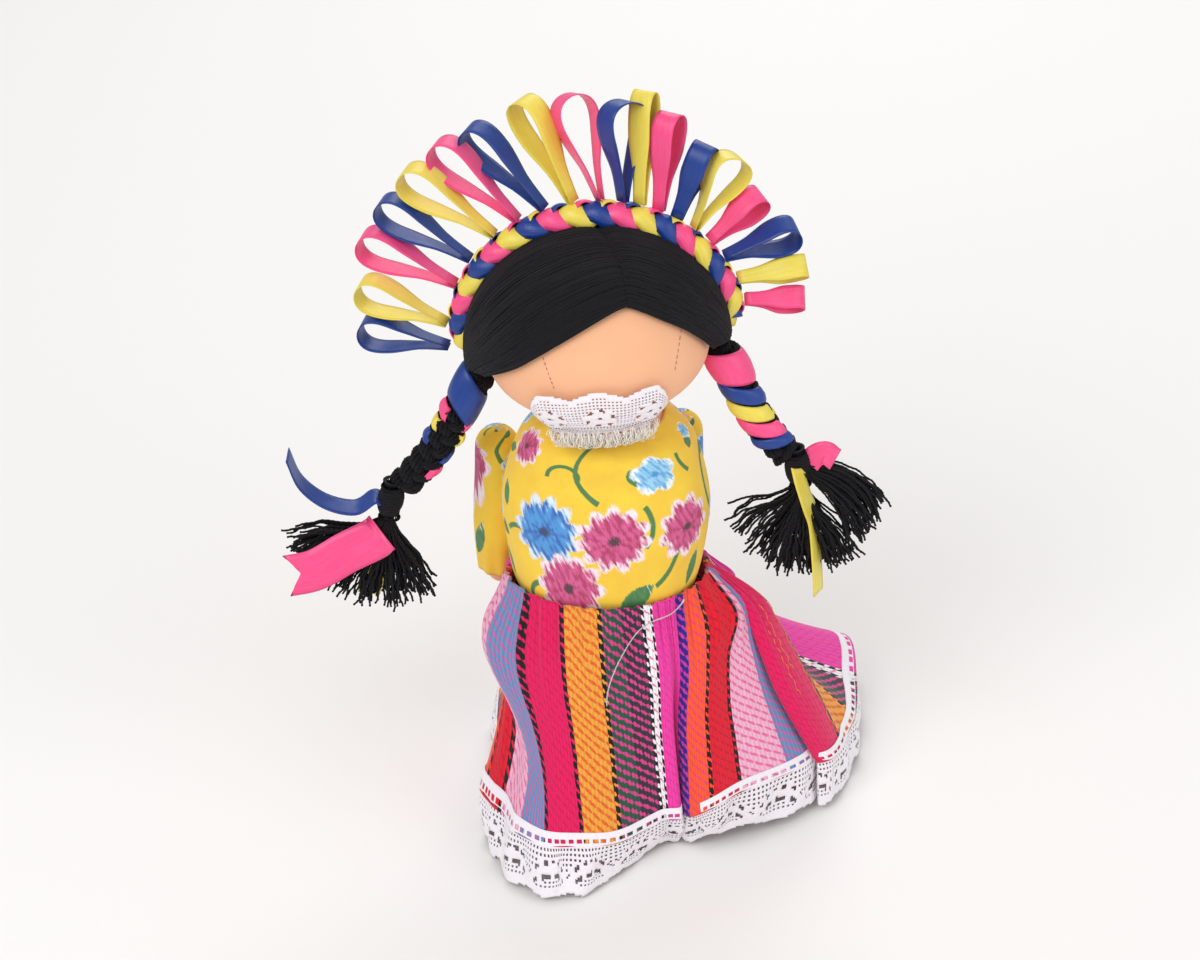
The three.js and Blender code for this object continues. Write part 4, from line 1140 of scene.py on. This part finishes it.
# x and y, size, petals, turn in radians, and tints
BLOSSOMS = [(66, 23.5, 11, 11, 0.3, BLUE), (97, 42.5, 8.2, 5, 0.9, SKY), (119, 50.5, 3.6, 5, 0.2, SKY),
            (51.5, 46.5, 8.2, 9, 0.5, MAGENTA), (105.5, 23, 9.8, 9, 0.1, MAGENTA),
            (84.5, 23, 10.4, 11, 0.7, MAGENTA), (72.5, 8, 10.2, 10, 0, MAGENTA), (124, 22, 6, 9, 0.6, BLUE)]
ground = shade(noise(poplin, 0.12, 3), "fedc24", "f3ba10")
for numbers in STEMS:
    ground = stem(ground, *numbers)
for numbers in LEAVES:
    ground = leaf(ground, *numbers)
for *numbers, tints in BLOSSOMS:
    ground = blossom(ground, *numbers, *tints)
weave = waves(poplin, 0.4) + waves(poplin, 0.4, "Y")
paint(shader, shade(weave * 0.04, ground, "ffffff"))
raise_by(shader, weave, 0.05, 0.5)

# %% Blouse
BLOUSE_OFF_TORSO = 1.05
blouse_line = outline(TORSO_SIDE, 60)


def blouse_place(u, v):
    radius, z = blouse_line(lerp(0.115, 1, v))
    a = 2 * math.pi * (u + 0.25)
    pull = 0.28 * math.sin(5 * a + z * 0.16) + 0.18 * math.sin(11 * a - z * 0.1)
    return on_doll(*ring(radius + BLOUSE_OFF_TORSO + pull * 0.6, u + 0.25, torso_depth(z)), z)


blouse = sheet("blouse_poplin", 120, 48, blouse_place, lambda u, v: (165 * u, 60 * v), closed=True)
thicken(blouse, 0.5)
dress(blouse, "torso", "printed_cotton", printed_cotton, "blouse")

# %% [markdown]
# The two sleeves lie against the blouse at the back of the shoulders. Each is a tube of the same
# poplin, gathered at its mouth, round a stuffed arm that ends in a small rounded hand.

# %% Sleeves and arms
ARM_LEAN = {"left": 3, "right": 14}


def on_arm(side, x, y, z):
    """A place in the frame of an arm, which hangs from its pivot and leans back."""
    lean = Matrix.Rotation(math.radians(ARM_LEAN[side]), 3, "X")
    return pivots[f"{side}_arm_raise"] + lean @ Vector((x, y, z)) * MM


SLEEVE_SIDE = [(6.4, -42), (7.2, -33), (7.5, -24), (6.7, -8), (6.4, 0)]
sleeve_line = outline([*SLEEVE_SIDE, *arc(6.4, 0, (25, 50, 72, 89))], 60)
ARM_PATH = [(0, 0, 2), (0, 0, -21), (0, 0.2, -36), (0, 1, -42.5), (0, 5.6, -47.5), (0, 14, -50)]
ARM_RADII = [0.3, 2.6, 4.3, 4.3, 4.3, 4.3, 4.2, 3.7, 3.3, 3.3, 3.3, 3.6, 4.2, 4.3, 3.6, 2.1, 0.3]
arm_line = curve_through(ARM_PATH, 90)
for side in SIDES:
    def sleeve_place(u, v):
        radius, z = sleeve_line(v)
        gathers = 0.35 * math.sin(18 * math.pi * u + 2) * clamp(1 - v * 4)
        return on_arm(side, *ring(radius + gathers, u), z)

    sleeve = sheet(f"sleeve_poplin_{side}", 48, 50, sleeve_place, lambda u, v: (46 * u, 52 * v), closed=True)
    thicken(sleeve, 0.5, -1)
    dress(sleeve, f"{side}_arm", "printed_cotton", printed_cotton, f"sleeve_{side}")

    def limb(u, v, shrink=0.0):
        step = min(int(v * 89.999), 88)
        ahead = arm_line[step + 1] - arm_line[step]
        place = arm_line[step] + ahead * (v * 89 - int(v * 89)) if v < 1 else arm_line[89]
        up = np.cross((1, 0, 0), ahead / np.linalg.norm(ahead))
        x, rise = ring(max(sample(ARM_RADII, v) - shrink, 0.02), u)
        return on_arm(side, *(place + np.array((x, 0, 0)) + up * rise))

    arm = sheet(f"arm_cloth_{side}", 32, 64, limb, lambda u, v: (27 * u, 62 * v), closed=True)
    dress(arm, f"{side}_arm", "peach_cotton", peach_cotton, f"arm_{side}")
    fill(f"arm_filling_{side}", 20, 40, lambda u, v: limb(u, lerp(0.05, 0.9, v), 1.1), (25, 60),
         f"{side}_arm", f"arm_stuffing_{side}")

# %% [markdown]
# The skirt is one strip of striped twill, seamed at the back and gathered at the waist. It fell
# into the folds listed here. Each row is one line down the cloth: where it ends at the hem, at what
# angle it leaves the waist, how far along the strip it lies, and where the lace below it touches
# the floor. The strip's own millimetres become the UV map, so the stripes stay their woven width.

# %% Folds of the skirt
# hem x, y, z, waist angle in degrees, place along the strip, lateness of flare, lace foot x, y
FOLDS = [
    (8, 46, 14, -275, -129, 1.6, 9, 51), (-10, 47, 14, -260, -111, 1.6, -11, 52),
    (-24, 41, 14, -242, -94, 2, -27, 45), (-32, 27, 14, -222, -76, 2.2, -34.5, 29),
    (-32.5, 10, 14, -205, -58, 2.4, -34.5, 10), (-32, -5, 14, -192, -42, 2.6, -34, -5),
    (-32, -14.5, 14, -185, -32, 3, -34, -16.5), (-36, -24, 15, -178, -16, 4, -35.5, -27),
    (-32, -33, 15, -174, -3, 4, -33.5, -36), (-28.5, -40, 15.5, -171, 5, 1.9, -30.5, -43),
    (-26, -46, 16, -166, 12, 1.6, -27.5, -51), (-17, -51, 16, -141, 22.7, 1.35, -17.5, -58),
    (-6.6, -50.5, 15.5, -117, 36.2, 1.15, -6.5, -56), (3.9, -47, 14, -95, 47.7, 1.12, 3.5, -46),
    (15, -38.5, 14.5, -70, 60.5, 1.12, 14.5, -33), (17.8, -37.5, 14.5, -63, 64, 1.12, 17.6, -31.5),
    (21.4, -36.5, 14.5, -57, 69, 1.12, 21.2, -30.5), (19.8, -29, 14.5, -52, 80, 1.12, 20.5, -28),
    (21, -32, 14.5, -47, 88, 1.1, 21.6, -30), (24, -37.5, 15.5, -41, 92, 1.05, 24.5, -31.5),
    (30, -37.5, 18.5, -26, 101.7, 0.85, 29.5, -31.5), (38.5, -32, 20, -9, 113, 0.75, 38, -29.5),
    (52.5, -21.5, 18.5, -5, 125.5, 0.75, 52.5, -24), (60.5, -13, 17.5, -3, 134.5, 0.75, 61, -17),
    (63, -6, 17, -2, 135.8, 0.75, 64, -11), (61.5, -14, 17.5, -1, 137.2, 0.75, 63, -17),
    (66, -12, 17, 2, 143, 0.75, 67.5, -14), (69.4, -4.7, 16, 3, 150, 0.75, 71.5, -5.5),
    (74.5, 8.5, 16, 8, 161, 1.2, 77, 9), (76.5, 26.5, 17, 13, 176, 1.9, 79.5, 29),
    (75.5, 46, 19, 20, 190, 1.6, 79, 49),
    (64, 50, 17, 38, 205, 1.4, 67, 54), (44, 46, 14, 56, 226, 1.3, 46, 51),
    (28, 52, 14, 71, 243, 1.4, 30, 56), (8, 46, 14, 85, 263, 1.6, 9, 51),
]
# How far the fold at the right rolls over, in x and y, at places along the strip
ROLL = [(131, 0, 0), (135.8, 1, 4), (137.5, -1.5, -4.5), (142, 0, -6), (147, 2, -4), (150, 3, 0), (154, 0, 3),
        (163, 0, 1), (175, 0, 0)]
ROLL_ALONG, ROLL_X, ROLL_Y = zip(*ROLL)
# How far the cloth bulges at the waist, at places along the strip
BULGE_ALONG, BULGE_X = [98, 112, 136, 160, 190, 215], [0, 5.5, 2.5, 4, 7, 1]
FOLD_SAMPLES = 721
fold_table = np.zeros((FOLD_SAMPLES, 8))
fold_table[:, :3] = curve_through([f[:3] for f in FOLDS], FOLD_SAMPLES)
places = np.linspace(0, len(FOLDS) - 1, FOLD_SAMPLES)
for column in range(3, 8):
    fold_table[:, column] = np.interp(places, range(len(FOLDS)), [f[column] for f in FOLDS])
for _ in range(6):
    fold_table[1:-1, 3:] = (fold_table[:-2, 3:] + 2 * fold_table[1:-1, 3:] + fold_table[2:, 3:]) / 4
STRIP_START, STRIP_END = FOLDS[0][4], FOLDS[-1][4]


def fold_at(u):
    """The fold's numbers at a share of the strip. u follows the strip's own length."""
    along = STRIP_START + (STRIP_END - STRIP_START) * u
    k = float(np.interp(along, fold_table[:, 4], np.arange(FOLD_SAMPLES)))
    return sample(fold_table, k / (FOLD_SAMPLES - 1))


def hump(t, middle, width):
    return math.exp(-((t - middle) / width) ** 2)


WAIST_Z = 77
WAIST_RADIUS = 27.4
WAIST_DEPTH = 0.78


def skirt_place(u, t, out=0.0):
    """The cloth from the waist, 0, to the hem, 1, at a share u of the strip."""
    hem_x, hem_y, hem_z, degrees, along, flare = fold_at(u)[:6]
    share = clamp(t) ** flare
    ripple = 0.45 * math.sin(along * 0.9) + 0.3 * math.sin(along * 1.73 + 1)
    waist_x, waist_y = ring(WAIST_RADIUS + 0.5 * ripple, degrees / 360, WAIST_DEPTH)
    x, y = lerp(waist_x, hem_x, share), lerp(waist_y, hem_y, share)
    edge = ease(along, -4, 2) * (1 - ease(along, 12, 30))
    x += edge * (4.5 * hump(t, 0.78, 0.2) - 6 * hump(t, 0.3, 0.22))
    x += hump(t, 0.15, 0.13) * float(np.interp(along, BULGE_ALONG, BULGE_X))
    rolled = math.sin(math.pi * clamp(t, 0, 0.97)) ** 0.8
    x += rolled * float(np.interp(along, ROLL_ALONG, ROLL_X))
    y += rolled * float(np.interp(along, ROLL_ALONG, ROLL_Y))
    gather = 1.6 * math.sin(math.pi * min(1, t * 1.6)) ** 2 + 0.8 * ripple * hump(t, 0.12, 0.16)
    off_x, off_y = ring(gather + out, degrees / 360)
    return on_doll(x + off_x, y + off_y, lerp(WAIST_Z, hem_z, t))


# %% [markdown]
# The twill is woven with slanting lines that fall to the right. The stripes follow one another in
# an order that repeats every 113.5 mm. In most stripes the weft shows as small slanting dashes of
# another colour, and thin black and white dashed lines part them.

# %% Striped twill
PERIOD = 113.5
# start of each stripe, its warp, the colour of its dashes, and how much of it they cover
STRIPES = [
    (0, "f6b6cf", "ee6fa6", 0.42), (12, "6b93c4", "c86aa8", 0.5), (22, "141216", "e0125c", 0.45),
    (23.5, "e8125f", "d40b4e", 0.3), (35.5, "141216", "e8125f", 0.45), (37, "f3a63c", "e8662f", 0.5),
    (47, "141216", "f2a03c", 0.45), (48.5, "2a5540", "d8408c", 0.52), (54.5, "333136", "d8408c", 0.52),
    (60.5, "141216", "f4f0f2", 0.5), (61.4, "f6f2f4", "ee7ab0", 0.3), (63.1, "141216", "f4f0f2", 0.5),
    (64, "f43fa9", "ee2f9c", 0.3), (89, "2a1e90", "c83aa0", 0.5), (92, "ff5a2e", "f04470", 0.4),
    (101, "141216", "ff4f2a", 0.45), (102.5, "e3132f", "c40c2a", 0.3), (112, "141216", "e01030", 0.45),
]
striped_twill, tree, shader = finish("striped_cotton_twill", "e8125f", 0.82, sheen=0.2, specular=0.3)
twill = millimetres(tree)
twill_x, twill_y = split(twill)
wobbled = twill_x + (noise(twill, 0.35) - 0.5) * 0.7
along_stripes = wobbled % PERIOD / PERIOD


def stripe_ramp(colours):
    """A value for each stripe, from a list of (start, linear colour)."""
    ramp = tree.nodes.new("ShaderNodeValToRGB")
    ramp.color_ramp.interpolation = "CONSTANT"
    feed(along_stripes, ramp.inputs[0])
    elements = ramp.color_ramp.elements
    while len(elements) < len(colours):
        elements.new(1.0)
    for element, (start, value) in zip(elements, colours):
        element.position = start / PERIOD
        element.color = value
    return Signal(ramp.outputs[0])


warp_colour = stripe_ramp([(s[0], colour(s[1])) for s in STRIPES])
dash_colour = stripe_ramp([(s[0], colour(s[2])) for s in STRIPES])
dash_cover = stripe_ramp([(s[0], (s[3], s[3], s[3], 1)) for s in STRIPES])
# A pick of weft shows over every third warp yarn, and the picks join into slanting lines
WARP, WEFT = 1.1, 0.93
across_yarns = wobbled / WARP
row = (twill_y / WEFT + across_yarns) / 3
off_row = abs(row.apply("FRACT") - 0.5)
along_row = across_yarns / 2.1 + row.apply("FLOOR") * 0.37
gap = (abs(along_row.apply("FRACT") - 0.5) - 0.3).apply("MAXIMUM", 0.0) * 1.1
yarn_round = abs((across_yarns * math.pi).apply("SINE"))
fuzz = (noise(twill, 1.5, 3) - 0.5) * 0.28
reach = 0.5 - off_row + fuzz - gap + yarn_round * 0.1
edge = 0.6 - dash_cover * 0.5
dashes = reach.node("ShaderNodeMapRange", {"From Min": edge - 0.05, "From Max": edge + 0.05}, Value=reach)
woven = shade(dashes, warp_colour, dash_colour)
shadow = woven.node("ShaderNodeHueSaturation", {"Value": 0.62}, Color=woven)
paint(shader, shade((1.0 - yarn_round) * 0.55, woven, shadow))
raise_by(shader, yarn_round * 0.5 + dashes, 0.12, 0.6)

# %% Skirt
STRIP_WIDTH = STRIP_END - STRIP_START
skirt = sheet("skirt_twill", 420, 54, lambda u, v: skirt_place(u, 1 - v, 0.5),
              lambda u, v: (STRIP_START + STRIP_WIDTH * u, 68 * v))
thicken(skirt, 0.8)
dress(skirt, "torso", "striped_twill", striped_twill, "skirt")

# %% [markdown]
# Gold metal thread runs in one crimson stripe, on the fold at the right.

# %% Metal threads
metal_thread, tree, shader = finish("gold_metal_thread", "d9a82a", 0.3, specular=0.6)
shader.inputs["Metallic"].default_value = 0.8
threads = []
for along, start, stop in ((144.5, 0.16, 0.62), (146.2, 0.05, 0.5), (149.3, 0.02, 0.9)):
    threads.append([skirt_place((along + 0.35 * math.sin(k) - STRIP_START) / STRIP_WIDTH,
                                lerp(start, stop, k / 40), 1.0 + 0.12 * math.sin(k * 1.7))
                    for k in range(41)])
gold = yarns("skirt_metal_threads", threads, 0.12 * MM, sides=5)
dress(gold, "torso", "striped_twill", metal_thread)

# %% Hem lace
LACE_HEIGHT = 18.5
LACE_OVERLAP = 0.28


def hem_lace_place(s, t):
    """The lace, from its scalloped foot on the floor, 0, to its stitched edge on the twill, 1."""
    along, _, foot_x, foot_y = fold_at(s)[4:]
    top, edge = skirt_place(s, 0.985, 1.3), skirt_place(s, 0.94, 1.3)
    share = t / (1 - LACE_OVERLAP)
    if share > 1:
        return top.lerp(edge, (t - 1 + LACE_OVERLAP) / LACE_OVERLAP)
    foot = on_doll(foot_x, foot_y, 0.4 + 0.7 * max(0, math.sin(along * 0.8)))
    foot = top.lerp(foot, min(1, 16.5 * MM / (foot - top).length))
    middle = foot.lerp(top, 0.5)
    middle.z -= 0.06 * (top.z - foot.z)
    point = foot.lerp(middle, share * 2) if share < 0.5 else middle.lerp(top, share * 2 - 1)
    swing = Vector((math.sin(along * 0.55), math.cos(along * 0.4), 0)) * 0.6 * MM
    scallop = (math.sin(along * 2 * math.pi / 12) + 1) / 2 * (1 - share) ** 3 * 0.9 * MM
    return point + swing * math.sin(math.pi * share) * 1.4 + (top - foot).normalized() * scallop


def hem_hole(x, y, mesh):
    """The hem lace's holes: its beading, two arched rows of eyelets and a few long slots."""
    across = (x + 7) % 14 - 7
    beading = 13.4 < y < 15.4 and x % 2.6 < 1.7
    arch = 9.6 - 4.4 * (across / 7) ** 2
    eyelets = abs(y - arch) < 0.5 and x % 2.2 < 1.2
    slots = abs(y - arch + 3.2) < 0.7 and abs(across) < 5 and x % 3.6 < 2.5
    scallop = y < 1.5 * (across / 7) ** 2
    net = mesh and (arch + 1 < y < 12.2 or 2.2 < y < arch - 4.4)
    return beading or eyelets or slots or scallop or net


hem_lace = lace_cloth("hem_lace_cloth", STRIP_WIDTH, LACE_HEIGHT, (0.56, 0.62), hem_lace_place, hem_hole)
dress(hem_lace, "torso", "white_lace", white_lace, "hem_lace")

# %% [markdown]
# Two short stuffed legs in small black felt shoes stand under the skirt.

# %% Legs and shoes
LEG_SIDE = [(0.2, 9.8), (4.1, 10.2), (4.6, 12.8), (5.4, 25.8), (6.2, 41.8), (6.45, 53.7), (6.5, 56),
            (5.8, 58.2), (4.4, 60), (2.7, 61.1), (0.2, 61.6)]
SHOE_STEPS = [0, 0.25, 0.35, 0.65, 0.75, 1]
SHOE_SIZES = [0.02, 0.93, 1, 1, 0.84, 0.02]
SHOE_HEIGHTS = [1.5, 1.5, 2.3, 7.7, 9.5, 9.5]
SHOE_HALF = 5.75
leg_line = outline(LEG_SIDE, 60)
for side in SIDES:
    hip = pivots[f"{side}_leg_swing"]

    def below_hip(x, y, z):
        """A place x and y millimetres from the hip and z above the floor."""
        return Vector((hip.x + x * MM, hip.y + y * MM, z * MM))

    def leg_place(u, v, shrink=0.0):
        radius, z = leg_line(v)
        return below_hip(*ring(max(radius - shrink, 0.02), u), z)

    leg = sheet(f"leg_cloth_{side}", 32, 48, leg_place, lambda u, v: (38 * u, 56 * v), closed=True)
    dress(leg, f"{side}_leg", "peach_cotton", peach_cotton, f"leg_{side}")
    fill(f"leg_filling_{side}", 20, 30, lambda u, v: leg_place(u, lerp(0.04, 0.96, v), 1.1), (36, 54),
         f"{side}_leg", f"leg_stuffing_{side}")

    def shoe_place(u, v):
        """The shoe's outline is a circle that is cut across and drawn apart from heel to toe."""
        x, y = ring(1, u)
        size = float(np.interp(v, SHOE_STEPS, SHOE_SIZES))
        stretch = 4.75 * (1 if y > 0 else -1) * min(1, abs(y) * 3)
        return below_hip(SHOE_HALF * size * x, -4.5 + size * (stretch + SHOE_HALF * y),
                         float(np.interp(v, SHOE_STEPS, SHOE_HEIGHTS)))

    shoe = sheet(f"shoe_felt_{side}", 48, 40, shoe_place, lambda u, v: (60 * u, 30 * v), closed=True)
    dress(shoe, f"{side}_leg", "black_felt", black_felt, f"shoe_{side}")
